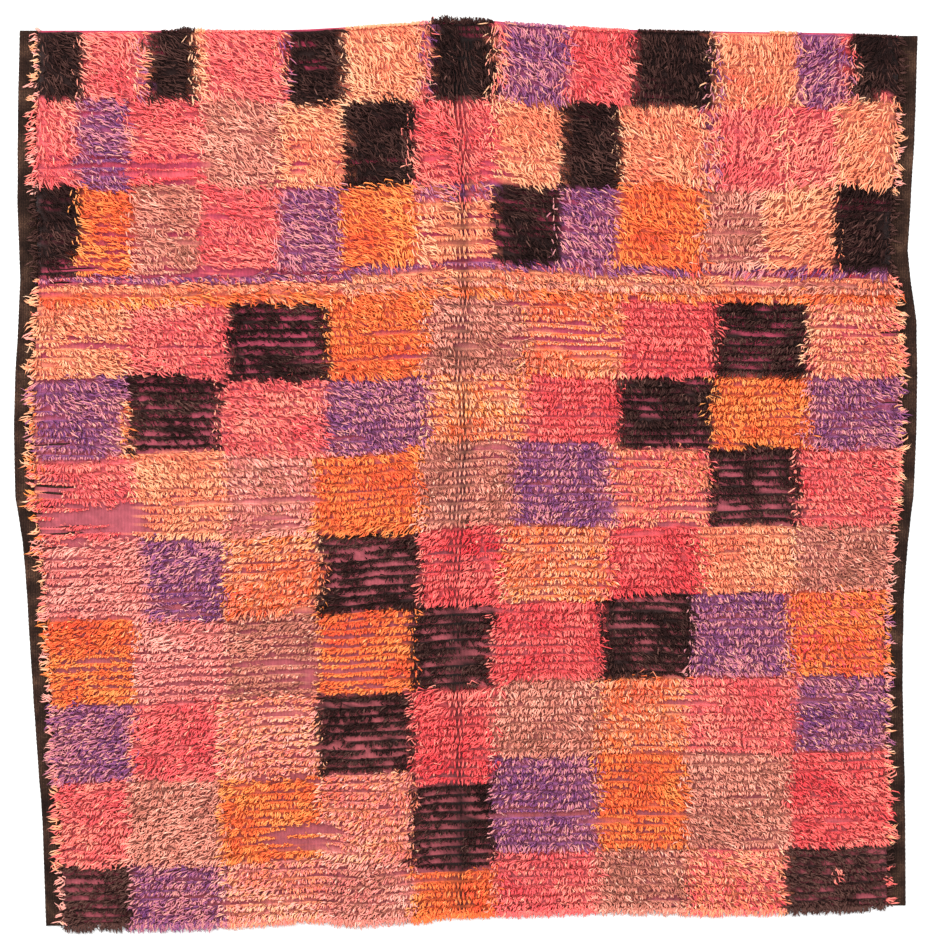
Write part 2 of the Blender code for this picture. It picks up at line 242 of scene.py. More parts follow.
# Long gaps above a pile row, where the row above is worn short and the bare weave shows
BARE_GAPS = (
    # right, up, width and how much higher the right end is, in centimetres, and height in millimetres
    (-46.9, 42.0, 42.0, -0.2, 15.0),
    (-77.5, 26.8, 18.0, 0.0, 12.8),
    (-88.0, 24.2, 6.0, 0.0, 8.0),
    (-62.8, 26.8, 4.0, 0.0, 7.0),
    (-55.0, 26.3, 12.0, 0.0, 4.0),
    (-15.4, 29.9, 15.0, 0.5, 9.0),
    (-18.7, 24.7, 21.0, 0.0, 8.0),
    (-53.4, 53.9, 5.3, -1.0, 9.0),
    (-59.2, 49.4, 7.5, 0.3, 7.0),
    (-24.8, 7.2, 8.0, 0.0, 9.0),
    (-87.7, 12.1, 7.4, 0.0, 6.0),
    (-71.3, 3.9, 38.4, 2.6, 7.0),
    (-60.4, 5.9, 17.0, 0.2, 6.0),
    (-34.9, 32.7, 10.3, 0.3, 10.0),
    (-45.3, 29.5, 6.0, 0.0, 6.0),
    (-35.2, 29.5, 10.7, 0.2, 6.0),
    (-45.0, 25.9, 8.0, -0.5, 6.0),
    (-34.1, 24.5, 10.7, 0.0, 8.0),
    (-58.2, -5.1, 16.0, 0.0, 8.0),
    (-39.4, -5.1, 22.6, 0.2, 9.0),
    (-40.4, -8.5, 9.0, 0.0, 9.0),
    (-41.3, -10.8, 17.0, -0.3, 10.0),
    (-59.6, -25.5, 14.0, 0.2, 7.0),
    (-59.6, -28.5, 15.5, 0.4, 12.0),
    (-84.0, -29.9, 7.5, 0.3, 9.0),
    (-72.4, -29.7, 8.0, 0.3, 9.0),
    (-33.0, -28.0, 6.5, 0.0, 12.0),
    (-41.2, -39.4, 19.3, 0.6, 12.0),
    (-59.8, -41.0, 18.0, 0.2, 7.0),
    (-37.3, -49.5, 13.0, 0.5, 9.0),
    (9.7, 35.8, 7.0, -0.5, 9.0),
    (17.2, 35.4, 6.4, 0.0, 6.0),
    (27.1, 36.9, 3.0, 0.0, 7.0),
    (34.6, 36.6, 4.0, 0.3, 7.0),
    (23.1, 32.1, 6.0, 0.0, 7.0),
    (19.9, 30.2, 17.0, -0.8, 9.0),
    (17.7, 28.0, 20.0, -0.7, 6.0),
    (30.9, 28.0, 4.0, 0.0, 9.0),
    (22.5, 26.8, 20.0, -0.9, 11.0),
    (26.0, 24.9, 11.8, 0.2, 6.0),
    (-2.1, 30.8, 5.5, 0.0, 7.0),
    (-0.4, 27.6, 5.5, 0.0, 9.0),
    (7.3, 27.3, 5.0, 0.0, 5.0),
    (-2.4, 53.2, 16.6, 0.3, 5.0),
    (-2.3, 49.8, 15.5, 0.3, 7.0),
    (1.0, 45.0, 11.8, 0.0, 6.0),
    (-5.0, 43.2, 20.0, 0.2, 8.0),
    (57.0, 55.1, 11.8, 0.0, 6.0),
    (56.5, 51.7, 13.4, 0.0, 6.0),
    (59.5, 45.4, 20.0, -0.5, 6.0),
    (52.3, 42.6, 7.0, 0.0, 9.0),
    (68.0, 40.7, 34.0, 0.5, 8.0),
    (61.0, 29.5, 17.0, 0.0, 6.0),
    (77.0, 31.6, 10.0, 0.9, 6.0),
    (81.5, 29.2, 8.0, 0.7, 6.0),
    (5.8, 18.6, 3.4, 0.0, 6.0),
    (6.2, 6.6, 10.6, 0.5, 9.0),
    (-80.0, 65.1, 17.6, 0.0, 7.0),
    (-62.8, 65.7, 17.0, 0.6, 8.0),
    (-65.1, 63.5, 20.0, 0.3, 12.0),
    (-62.8, 60.4, 10.5, 0.3, 7.0),
    (-36.0, 75.9, 3.4, 0.0, 7.0),
    (-36.2, 68.4, 3.6, 0.0, 7.0),
    (-35.6, 65.2, 5.0, 0.0, 7.0),
    (-36.0, 63.2, 4.4, 0.0, 9.0),
    (-65.6, 87.9, 3.2, 0.0, 9.0),
    (-62.8, 84.9, 1.8, 0.2, 8.0),
    (-34.0, 89.4, 5.0, 0.0, 9.0),
    (-32.8, 85.2, 4.4, 0.0, 6.0),
    (1.6, 91.7, 6.5, -0.4, 9.0),
    (-7.4, 67.1, 6.2, 0.0, 9.0),
    (3.8, 65.0, 4.8, 0.0, 11.0),
    (6.3, 62.3, 6.4, 0.0, 10.0),
    (10.7, 67.0, 3.2, 0.0, 9.0),
    (7.5, 50.6, 3.6, 0.0, 9.0),
    (7.0, 47.6, 4.6, 0.0, 10.0),
    (-80.0, 75.6, 7.0, 0.3, 8.0),
    (40.5, -11.2, 19.0, 1.4, 10.0),
    (82.0, -45.8, 9.0, 0.6, 8.0),
    (73.0, -47.6, 12.0, 0.6, 8.0),
    (46.0, -47.8, 12.0, -0.3, 8.0),
    (75.0, -72.0, 16.0, 0.2, 8.0),
    (20.0, -71.8, 52.0, 0.8, 10.0),
)

# Share of the dye's colour, as painted shade of the deep pile, on the ground between covered rows, share of
# their usual stray that knots beside a gap have, and how square the gaps' ends are
GAP_COVER = 0.60
GAP_CALM = 0.25
GAP_CURVE = 3

# Length of pile that shows beyond its own knot row, how much that varies along a row, the height of
# the pile's crest, the height of the tips of its tufts, and how far knots stray from their row
PILE = (
    # v, reach, spread, crest, tip, stray
    (0.000, 0.0255, 0.0045, 0.0165, 0.0135, 0.0075),
    (0.090, 0.0250, 0.0060, 0.0165, 0.0130, 0.0070),
    (0.185, 0.0238, 0.0075, 0.0160, 0.0120, 0.0055),
    (0.262, 0.0222, 0.0075, 0.0160, 0.0110, 0.0040),
    (0.280, 0.0180, 0.0070, 0.0115, 0.0085, 0.0020),
    (0.300, 0.0218, 0.0050, 0.0155, 0.0095, 0.0030),
    (0.400, 0.0208, 0.0070, 0.0145, 0.0085, 0.0034),
    (0.560, 0.0202, 0.0078, 0.0135, 0.0070, 0.0032),
    (0.720, 0.0202, 0.0078, 0.0135, 0.0065, 0.0032),
    (0.880, 0.0206, 0.0076, 0.0140, 0.0070, 0.0034),
    (1.000, 0.0206, 0.0060, 0.0140, 0.0070, 0.0030),
)
BARE_REACH = 0.0050

# Noises that vary the reach along a row
REACH_NOISES = (
    # share, name
    (0.62, "reach"),
    (0.38, "worn"),
)

# Broken dashes of bare weave between the rows of the black blocks
DASH_LOSS = 0.0084
DASH_EDGE = 0.020
DASH_EDGE_STARTS = 0.3
DASH_LENGTH = 0.020
DASH_SLOPE = 7
DASH_LEVELS = (
    # v, level of noise above which the weave shows
    (0.00, 0.92),
    (0.27, 0.90),
    (0.31, 0.44),
    (0.55, 0.39),
    (0.75, 0.29),
    (1.00, 0.28),
)
DASH_CHANGES = (
    # first row, row after the last, left, right, change of the level
    (41, 50, 0.310, 0.520, 0.14),
    (68, 78, 0.270, 0.480, 0.26),
    (68, 78, -0.120, 0.060, 0.08),
    (33, 37, -0.420, -0.280, -0.06),
    (59, 68, -0.320, -0.090, -0.04),
)

# Which way the pile lies, in degrees towards the right from straight down the rug
LAY_STATIONS = (-0.91, -0.88, -0.78, -0.50, -0.20, 0.10, 0.40, 0.60, 0.75, 0.86, 0.91)
LAY = (
    # up, then the angle at each station
    (0.92, (-70, 50, 60, 50, 36, 24, 14, 2, -14, -36, 30)),
    (0.68, (-75, 45, 70, 60, 56, 48, 42, -10, -45, -50, 30)),
    (0.48, (-75, 40, 62, 58, 58, 50, 45, -35, -55, -40, 40)),
    (0.27, (-78, 20, 62, 52, 34, 10, 8, -15, -20, 30, 75)),
    (0.12, (-78, 10, 64, 54, 38, 5, 5, 10, 10, 45, 75)),
    (0.00, (-78, -20, 40, 25, 5, 0, 4, 10, 20, 50, 75)),
    (-0.15, (-78, -70, -50, -45, -45, -20, 10, 20, 32, 50, 75)),
    (-0.35, (-78, -70, -58, -48, -38, -20, 20, 15, 28, 35, 75)),
    (-0.55, (-78, -70, -58, -52, -38, -15, 28, 15, 42, 40, 75)),
    (-0.72, (-78, -70, -56, -50, -36, -18, 40, 40, 52, 45, 75)),
    (-0.92, (-70, -60, -48, -40, -20, -10, 12, 32, 48, 58, 75)),
)

# The crease down the middle: the pile stands in a few upright columns with gaps between them, dark from real
# shadow and from painted shadow on the ground there
CREASE_X = -0.0125
CREASE_HALF_WIDTH = 0.028
CREASE_FADE = 1.4
CREASE_PITCH = 0.0088
CREASE_COMB = 0.88
CREASE_DRIFT = 0.0050
CREASE_RIPPLE = 0.0066
CREASE_UPRIGHT = 0.92
CREASE_CALM = 0.85
CREASE_THIN = 0.25
# Darkening of the ground at the crease: painted shadow in the parted pile
CREASE_SHADE = 0.22
CREASE_LOSS = 0.30

# Tufts. Long ones lie from the head down to the bands, and short ones below, with some long.
SPACING_LONG = 0.0022
SPACING_SHORT = 0.0016
SHORT_STARTS = 0.275
SHORT_SHARE = 0.90
TUFT_JITTER = 0.0007
TUFT_WIDTH_LONG = 0.0032
TUFT_WIDTH_SHORT = 0.0037
TUFT_WIDTH_SPREAD = 0.26
TUFTS_A_LOCK = 4
LOCK_PULL = 0.75
LOCK_ANGLE = 15
TUFT_ANGLE = 9
LAY_DRIFT = 38
CURL = 33
REACH_RANGE = (0.74, 1.12)
REACH_JITTER = (0.92, 1.08)
LEAST_STRAY = 0.2
CREST_FLAT = 0.45
CREST_RANGE = (0.5, 1.1)
CREST_JITTER = (0.86, 1.12)
TIP_JITTER = (0.75, 1.3)
LEAST_COSINE_LONG = 0.85
LEAST_COSINE_SHORT = 0.66
MOST_ANGLE = 78
HEAD_INSET = 0.0035
BORDER_ZONE = 0.008
BORDER_LEAN = 58
BORDER_LEAN_SPREAD = 1.6
BORDER_PALE = 0.40
PALE_ZONE = 0.007
ROOT_SHARE = 0.10
ROOT_HEIGHT = 0.0034
END_CREST = 0.0095
END_TIP = 0.0026
END_INSET = 0.006
END_LAYERS = 2
END_TURN = 28
END_REACH_JITTER = (0.5, 1.2)
END_CREST_JITTER = (0.8, 1.2)
END_TIP_JITTER = (0.7, 1.4)
HEAD_LOCKS = (
    # left, right, how far the pile stands past the head at the left and at the right of the span
    (-0.636, -0.600, 0.003, 0.005),
    (-0.600, -0.555, 0.010, 0.007),
    (-0.555, -0.390, 0.004, 0.001),
    (-0.250, -0.110, 0.003, 0.004),
    (-0.110, -0.072, 0.006, 0.006),
    (-0.072, -0.020, 0.014, 0.019),
    (-0.020, 0.056, 0.014, 0.007),
    (0.085, 0.210, 0.005, 0.005),
    (0.220, 0.340, 0.005, 0.004),
    (0.360, 0.520, 0.003, 0.002),
    (0.640, 0.700, 0.004, 0.004),
    (0.810, 0.905, 0.002, 0.003),
)
LEAN_SHARE = 0.62
MOST_BLOCKS = 24
PICKS = 1000
HEAD_LINES = 2
EDGE_GAP_WIDTH = 0.016
EDGE_GAP_HEIGHT = 0.011
EDGE_GAP_LEVEL = 0.52
BORDER_DRIFT = 0.0050
BORDER_JITTER = 0.0022

# Seeds of the random draws
SEED = 11
KNOT_SEED = SEED + 1000
TUFT_SEED = SEED + 2000
END_SEED = SEED + 3000
EDGE_SEED = SEED + 4000

# Smooth noises, and how far the places of two of them are spread
NOISE_CELLS = 128
BORDER_STRETCH = 7
HAIR_STRETCH = 3
NOISES = {
    # name: distance across and distance down over which it changes, in metres or pile rows, and seed
    "border": (1.0, 3.0, 1),
    "reach": (0.055, 1.0, 2),
    "worn": (0.19, 3.0, 3),
    "lay": (0.045, 0.035, 4),
    "tone": (0.030, 0.024, 5),
    "broad_tone": (0.12, 0.05, 6),
    "ground": (0.05, 0.05, 7),
    "wrap": (0.03, 1.0, 8),
    "wrap_depth": (0.04, 1.0, 9),
    "hair": (0.02, 0.012, 10),
    "crease": (1.0, 0.09, 12),
    "dash": (DASH_LENGTH, 1.0, 13),
    "crease_ripple": (1.0, 0.026, 14),
    "edge_gap": (EDGE_GAP_WIDTH, EDGE_GAP_HEIGHT, 15),
    "dark_weft": (0.012, 1.0, 16),
}

# Locks at the two ends of each pile row, which fan out over the selvedges
EDGE_LOCKS = 2
EDGE_TUFTS = 4
EDGE_SPACING = 0.0010
EDGE_WIDTH = 0.009
EDGE_ROW_SHARE = 0.85
EDGE_REACH_LEFT = (0.012, 0.038)
EDGE_REACH_RIGHT = (0.014, 0.036)
EDGE_FAN = (52, 125)
EDGE_PLACE = (0.1, 0.9)
EDGE_REACH_JITTER = (0.8, 1.05)
EDGE_CREST_JITTER = (0.8, 1.15)
EDGE_TIP_JITTER = (0.85, 1.3)
EDGE_LEAST_SINE = 0.5
EDGE_ANGLE_SHARE = 0.5
EDGE_PULL = 0.9
EDGE_TIP = 0.0066
EDGE_CREST = 0.0115
EDGE_TONE = 0.20
EDGE_DYES = (
    # first row, row after the last, dyes at the left, dyes at the right
    (0, 9, "PPS", "K"),
    (9, 19, "CCS", "PPS"),
    (19, 29, "K", "K"),
    (29, 33, "PPC", "PC"),
    (33, 41, "PPS", "PPC"),
    (41, 50, "VPO", "VPV"),
    (50, 59, "CPO", "CCP"),
    (59, 68, "SPC", "TSC"),
    (68, 78, "OSP", "VOS"),
    (78, 87, "VSS", "PSV"),
    (87, 97, "CPC", "RPC"),
    (97, 105, "SSP", "KKR"),
)

# Rings of points along a tuft before its tip
LONG_TUFT = (
    # share of the reach, share of the width, share of the crest's height
    (0.38, 1.00, 0.94),
    (0.76, 0.90, 1.0),
)
SHORT_TUFT = (
    (0.58, 1.00, 1.0),
)
SIDES_OF_TUFT = 3
UNDERSIDE = 1
# Values at the root and the tip for how near a point is to the tuft's top ridge, which set the painted shade
# along its sides and the painted highlight on its ridge
ROOT_RIDGE = 0.4
TIP_RIDGE = 0.8

# Places of a tuft on its cell of the colour map, as shares of the cell
CELL_MIDDLE = 0.4
CELL_RING = (0.4, 0.1, 0.7)
CELL_UNDER = 0.83
CELL_UNDER_WIDTH = 0.1
CELL_TOP = 0.12
CELL_HEIGHT = 0.76

# Ground cloth
GROUND_COLUMNS = 64
WEAVE_HEIGHT = 0.0030
RIDGE_HEIGHT = 0.0056
RIDGE = (
    # share of a row's pitch, on the ridge of knots
    (0.00, False),
    (0.09, True),
    (0.32, True),
    (0.48, False),
)
COVER_STARTS = 0.0172
COVER_FADE = 0.0050
WARP_PITCH = 0.0030
WEFT_PITCH = 0.0021
HAIR_WARP_PITCH = 0.0036
HAIR_WEFT_PITCH = 0.0030
WAVE_TEXTURE_FACTOR = 20
WEFT_SHARE = 0.35
GROUND_BUMPS = 0.0006
GROUND_TINTS = (
    # up, linear colour of the bare weave
    (0.95, (0.42, 0.042, 0.088)),
    (0.30, (0.36, 0.048, 0.086)),
    (0.00, (0.33, 0.066, 0.088)),
    (-0.60, (0.32, 0.070, 0.080)),
    (-0.95, (0.30, 0.062, 0.080)),
)

# Share of the colour map's width for the top of the cloth, and start and width of its underside's strip
GROUND_MAP = 0.97
UNDERSIDE_MAP = (0.985, 0.01)

# Picks of dark weft that run in from the selvedges over the bare ground
DARK_WEFT = (
    # left end and right end in centimetres to the right, up at each in centimetres, width in millimetres
    (-86.0, -77.0, 42.9, 43.3, 3.2),
    (-88.0, -82.5, 40.1, 40.3, 5.0),
    (-91.5, -83.0, 5.8, 6.4, 4.4),
    (-91.5, -82.0, -2.4, -2.8, 5.6),
    (-90.0, -84.0, -3.8, -4.2, 5.0),
    (-89.5, -86.0, -6.9, -7.2, 8.0),
    (-91.5, -88.8, -8.2, -8.4, 3.0),
    (-90.3, -79.0, -11.5, -10.7, 3.4),
    (-90.8, -80.2, -13.0, -12.2, 5.0),
    (-90.8, -88.2, -14.3, -14.3, 2.6),
    (-88.0, -85.0, -15.5, -15.5, 3.2),
    (-94.0, -90.3, 3.1, 3.4, 6.0),
    (-91.8, -88.6, -18.5, -18.4, 5.0),
    (-90.3, -88.0, -21.6, -21.4, 5.0),
    (85.5, 91.2, -29.6, -29.4, 4.6),
    (85.5, 91.2, -47.3, -47.5, 4.6),
    (87.0, 90.6, -56.8, -56.9, 4.0),
    (86.5, 91.8, 29.6, 29.9, 3.6),
    (85.0, 90.8, 14.8, 15.0, 3.2),
)
WEFT_STEP = 0.0030
WEFT_TOP = 0.0056
WEFT_DIP = 0.0014
WEFT_DRIFT = 0.0012
WEFT_TAPER = 4.5
WEFT_LEAST = 0.02
PILE_OVER_WEFT = 0.0015

# Selvedges
SELVEDGE_STEP = 0.0042
SELVEDGE_SECTION = (
    # share of the width, counted outwards, and height
    (0.00, 0.0024),
    (0.08, 0.0033),
    (0.16, 0.0034),
    (0.24, 0.0026),
    (0.32, 0.0034),
    (0.40, 0.0035),
    (0.48, 0.0027),
    (0.56, 0.0035),
    (0.64, 0.0035),
    (0.72, 0.0028),
    (0.80, 0.0040),
    (0.89, 0.0044),
    (0.96, 0.0036),
    (1.00, 0.0018),
)
WRAP_PITCH = 0.0100
WRAP_DEPTH = 0.0008
WRAP_DRIFT = 3
WEFT_BEAT = 0.0120
WEFT_LIFT = 0.00035
CORDS = 6
HAIR_BUMPS = 0.0005

# Start and width of the strips for a selvedge's top and its underside on its colour map
SELVEDGE_MAP = (0.02, 0.9)
SELVEDGE_UNDER_MAP = (0.94, 0.04)

# Dyes: each has its piece's name, how much its tufts differ, the share of pale tufts in it, and the
# colours from its dark end to its pale end
DYES = {
    "K": ("pile_black", 0.25, 0.03, ((24, 14, 14), (46, 27, 26), (74, 48, 44), (122, 84, 76))),
    "C": ("pile_coral", 0.14, 0.08, ((222, 64, 76), (246, 108, 111), (255, 146, 131), (255, 188, 158))),
    "R": ("pile_red", 0.14, 0.05, ((214, 46, 62), (240, 87, 92), (250, 122, 116), (255, 170, 148))),
    "P": ("pile_apricot", 0.14, 0.10, ((246, 108, 88), (255, 152, 114), (255, 184, 141), (255, 210, 176))),
    "S": ("pile_salmon", 0.10, 0.10, ((222, 108, 108), (244, 142, 133), (252, 174, 160), (255, 208, 190))),
    "O": ("pile_orange", 0.14, 0.05, ((236, 78, 62), (252, 116, 69), (255, 153, 83), (255, 188, 128))),
    "V": ("pile_violet", 0.36, 0.20, ((104, 56, 112), (152, 86, 134), (210, 128, 142), (246, 178, 164))),
    "T": ("pile_tan", 0.14, 0.12, ((160, 98, 82), (214, 132, 114), (242, 164, 144), (255, 202, 178))),
}
RAMP_PLACES = (0.0, 0.36, 0.68, 1.0)
TONE_RANGE = (0.02, 0.80)
TONE_MIDDLE = 0.45
TONE_DRIFT = 0.22
PALE_STARTS = 0.62
# Painted shade on the tufts: darker towards the knot over the first share of their length and darker along
# their sides, with a painted highlight along their top ridge
ROOT_SHADE = 0.90
ROOT_SHADE_ENDS = 0.30
EDGE_SHADE = 0.98
RIDGE_SHADE = 1.03
# Ground shade darkens the dye where it tints the ground under the pile: painted shade of the deep pile
# between the tufts
GROUND_SHADE = 0.85
FLECK_GAIN = 0.50
FLECK_SHIFT = -0.25

# Dark goat hair
HAIR_COLORS = (
    # place on the ramp, colour
    (0.0, (18, 10, 8)),
    (0.45, (40, 26, 21)),
    (0.8, (66, 45, 36)),
    (1.0, (102, 74, 57)),
)

# Studio
FLOOR_SIZE = 9.0
FLOOR_COLOR = (0.86, 0.86, 0.86, 1)
CAMERA_HEIGHT = 9.0
FRAME_LENGTH = 1.9908
SENSOR = 36.0
WORLD_STRENGTH = 1.10
LAMPS = (
    # name, place, size, power, colour
    ("key_lamp", (-2.2, 2.6, 4.2), 2.6, 250, (1.0, 0.985, 0.96)),
    ("fill_lamp", (2.8, -1.6, 4.4), 3.2, 100, (0.97, 0.985, 1.0)),
)


def along(table, at, column):
    """Values of one column of a table at stations, in straight lines between its rows."""
    rows = sorted(table)
    return np.interp(at, [row[0] for row in rows], [row[column] for row in rows])


def soft_noise(right, up, kind, turn=0):
    """Smooth random values from 0 to 1 over places of the rug. Turn gives another noise of the kind."""
    across, down, seed = NOISES[kind]
    table = np.random.default_rng(SEED + seed + turn).random((NOISE_CELLS, NOISE_CELLS))
    right, up = np.broadcast_arrays(np.asarray(right, float) / across, np.asarray(up, float) / down)
    column = np.floor(right).astype(int)
    row = np.floor(up).astype(int)
    share_across = right - column
    share_down = up - row
    share_across = share_across**2 * (3 - 2 * share_across)
    share_down = share_down**2 * (3 - 2 * share_down)
    lines = []
    for step in (0, 1):
        near = table[(row + step) % NOISE_CELLS, column % NOISE_CELLS]
        far = table[(row + step) % NOISE_CELLS, (column + 1) % NOISE_CELLS]
        lines.append(near + (far - near) * share_across)
    return lines[0] + (lines[1] - lines[0]) * share_down


def row_place(u, v):
    """How far up the rug a point of the field lies: u across from the left, v down from the head."""
    right = (2 * u - 1) * (HALF_WIDTH - SELVEDGE_WIDTH)
    head = along(ENDS, right, 1)
    foot = along(ENDS, right, 2)
    bend = np.maximum(0.0, (v - SLANT_STARTS) / (1 - SLANT_STARTS))
    slant = ROW_SLANT * np.sin(np.pi * bend) * (2 * u - 1)
    inside = np.clip(np.minimum(v, 1 - v) / STRAIGHT_END_SHARE, 0.0, 1.0)
    wave = ROW_WAVE * inside
    for across, down in ROW_WAVES:
        wave = wave * np.sin(across * right + down * v)
    return head + (foot - head) * v + slant + wave


def field_edge(side, up):
    """Where the field ends at one side, straight between every few pile rows."""
    u = 0.0 if side < 0 else 1.0
    column = 1 if side < 0 else 2
    rows = range(0, ROWS + WALL_EVERY, WALL_EVERY)
    stations = np.array([row_place(u, min(row, ROWS) / ROWS) for row in rows])
    edges = side * (along(SIDES, stations, column) - SELVEDGE_WIDTH)
    return np.interp(up, stations[::-1], edges[::-1])


def field_place(u, v):
    """A point of the field as right and up."""
    up = row_place(u, v)
    left = field_edge(-1, up)
    return left + (field_edge(1, up) - left) * u, up


def borders_down(right):
    """Where each border between two rows of blocks lies, counted in pile rows, at places across."""
    borders = []
    for row, table in BORDER_SHIFTS:
        places = [place / CM_IN_M for place, _ in table]
        shift = np.interp(right, places, [down / MM_IN_M for _, down in table])
        borders.append(row + shift / ROW_PITCH)
    return np.array(borders)


def knots_of_row(row, right):
    """The dye and tone of each knot of a pile row, and how far it is from its block's two borders.

    Gain is how much longer its tuft is where its block ends below it. Rise is how much higher its
    knot lies where its block starts there.
    """
    chance = np.random.default_rng(KNOT_SEED + row)
    jitter = chance.uniform(-BORDER_JITTER, BORDER_JITTER, MOST_BLOCKS)
    pick = chance.integers(0, PICKS, len(right))
    down = borders_down(right)
    group = (row + 0.5 > down).sum(0)
    dyes = np.full(len(right), " ")
    tones = np.zeros(len(right))
    inside = np.zeros((2, len(right)))
    for number in np.unique(group):
        blocks = BLOCKS[number][2]
        here = np.flatnonzero(group == number)
        borders = np.array([block[1] for block in blocks]) / CM_IN_M
        drift = BORDER_DRIFT * (soft_noise(borders * BORDER_STRETCH, row, "border") - 0.5)
        borders = borders + drift + jitter[:len(borders)]
        index = np.minimum(np.searchsorted(borders, right[here]), len(blocks) - 1)
        dyes[here] = [blocks[i][0][p % len(blocks[i][0])] for i, p in zip(index, pick[here])]
        tones[here] = [blocks[i][2] for i in index]
        before = np.concatenate([[-HALF_WIDTH], borders])[index]
        inside[:, here] = right[here] - before, borders[index] - right[here]
    for first, after, left_end, right_end, run in RUNS:
        if first <= row < after:
            here = (right > left_end) & (right < right_end) & (chance.random(len(right)) < RUN_SHARE)
            dyes[here] = [run[p % len(run)] for p in pick[here]]
    columns = np.arange(len(right))
    far = np.full((1, len(right)), FAR_ROWS)
    below = np.concatenate([down, ROWS + far])[group, columns]
    above = np.concatenate([-far, down])[group, columns]
    rise = np.where(row - 0.5 < above, np.maximum(row - above, 0), 0) * ROW_PITCH
    gain = np.where(row + 1.5 > below, below - row - 1, 0) * ROW_PITCH + rise
    return {"dye": dyes, "tone": tones, "inside": inside, "gain": gain, "rise": rise}


def pile_reach(right, up, row, v, knots):
    """How far each tuft reaches over the ground below its knot."""
    noise = sum(share * soft_noise(right, row, kind) for share, kind in REACH_NOISES)
    reach = along(PILE, v, 1) + along(PILE, v, 2) * 2 * (noise - 0.5) + knots["gain"]
    for middle, centre, half_width, half_length, loss in WORN:
        across = (right - middle) / half_width
        down = (up - centre) / half_length
        reach = reach - loss * np.exp(-(across**4) - down**4)
    level = np.full(len(right), along(DASH_LEVELS, v, 1))
    for first, after, left_end, right_end, change in DASH_CHANGES:
        here = (first <= row) & (row < after) & (right > left_end) & (right < right_end)
        level = level + change * here
    dash = np.clip((soft_noise(right, row, "dash") - level) * DASH_SLOPE, 0, 1)
    dash = dash * np.clip(knots["inside"].min(0) / DASH_EDGE - DASH_EDGE_STARTS, 0, 1)
    reach = np.where(knots["dye"] == "K", reach - DASH_LOSS * dash, reach)
    reach = np.minimum(reach, room_above_gaps(right, up))
    for pick in DARK_WEFT:
        left_end, right_end, at_left, at_right = (place / CM_IN_M for place in pick[:4])
        gap = up - np.interp(right, (left_end, right_end), (at_left, at_right))
        over = (gap > 0) & (gap < reach) & (right > left_end) & (right < right_end)
        reach = np.where(over, gap - PILE_OVER_WEFT, reach)
    return reach


def gaps_at(right):
    """For each bare gap, how far each place is from its middle to its end, its line there and its height."""
    for middle, height, width, rise, tall in BARE_GAPS:
        share = (right - middle / CM_IN_M) / (0.5 * width / CM_IN_M)
        yield share, (height + 0.5 * rise * share) / CM_IN_M, tall / MM_IN_M


def near_gaps(right, up):
    """Whether each knot is in the pile row just above or just below a bare gap."""
    near = np.zeros(len(right), bool)
    for share, centre, _ in gaps_at(right):
        near = near | ((abs(share) < 1) & (abs(up - centre) < ROW_PITCH))
    return near


def room_above_gaps(right, up):
    """How far each tuft may reach before it would cover a bare gap below it."""
    room = np.full(len(right), 2 * ROW_PITCH)
    for share, centre, tall in gaps_at(right):
        rows_above = np.ceil((up - centre) / ROW_PITCH)
        bare = tall * (1 - np.clip(abs(share), 0, 1) ** GAP_CURVE)
        limit = np.where((abs(share) < 1) & (rows_above > 0), rows_above * ROW_PITCH - bare, room)
        room = np.minimum(room, limit)
    return room


def comb_crease(right, up):
    """Draws knots near the crease into its columns. Also gives how near each is, from 0 to 1."""
    middle = CREASE_X + CREASE_DRIFT * 2 * (soft_noise(0, up, "crease") - 0.5)
    middle = middle + CREASE_RIPPLE * 2 * (soft_noise(0, up, "crease_ripple") - 0.5)
    near = np.clip(CREASE_FADE * (1 - abs(right - middle) / CREASE_HALF_WIDTH), 0, 1)
    column = middle + CREASE_PITCH * np.round((right - middle) / CREASE_PITCH)
    return right + (column - right) * CREASE_COMB * near, near


def lay_angle(right, up, drift=LAY_DRIFT):
    """Which way the pile lies, in radians towards the right from straight down the rug."""
    rows = sorted(LAY)
    levels = [np.interp(right, LAY_STATIONS, row[1]) for row in rows]
    heights = np.array([row[0] for row in rows])
    place = np.interp(up, heights, np.arange(len(rows)))
    low = np.minimum(place.astype(int), len(rows) - 2)
    levels = np.array(levels)
    columns = np.arange(len(right))
    angle = levels[low, columns] + (levels[low + 1, columns] - levels[low, columns]) * (place - low)
    angle = angle + drift * 2 * (soft_noise(right, up, "lay") - 0.5)
    return np.radians(angle)


def border_lean(chance, inside, dyes):
    """How far tufts at a block's borders turn outwards over the next block. Black ones don't."""
    near = np.clip(1 - inside / BORDER_ZONE, 0, 1)
    lean = math.radians(BORDER_LEAN) * chance.uniform(0, BORDER_LEAN_SPREAD, len(dyes))
    lean = lean * (near[1] - near[0])
    return np.where(dyes == "K", 0, lean)


def tuft_table(chance, right, up, angle, reach, crest, tip, dyes, tones, short=False, calm=0.0):
    """A table of tufts, with the small differences that each one has. Calm ones are straighter."""
    count = len(right)
    return {
        "right": right, "up": up, "angle": angle, "reach": reach, "crest": crest, "tip": tip,
        "dye": dyes, "tone": tones, "short": np.broadcast_to(short, count),
        "curl": chance.normal(0, math.radians(CURL), count) * (1 - CREASE_CALM * calm),
        "wave": chance.choice((-1, 1), count),
        "width": np.where(short, TUFT_WIDTH_SHORT, TUFT_WIDTH_LONG)
        * (1 + chance.uniform(-TUFT_WIDTH_SPREAD, TUFT_WIDTH_SPREAD, count)) * (1 - CREASE_THIN * calm),
        "luck": chance.random(count),
        "wander": chance.normal(0, 1, count),
    }


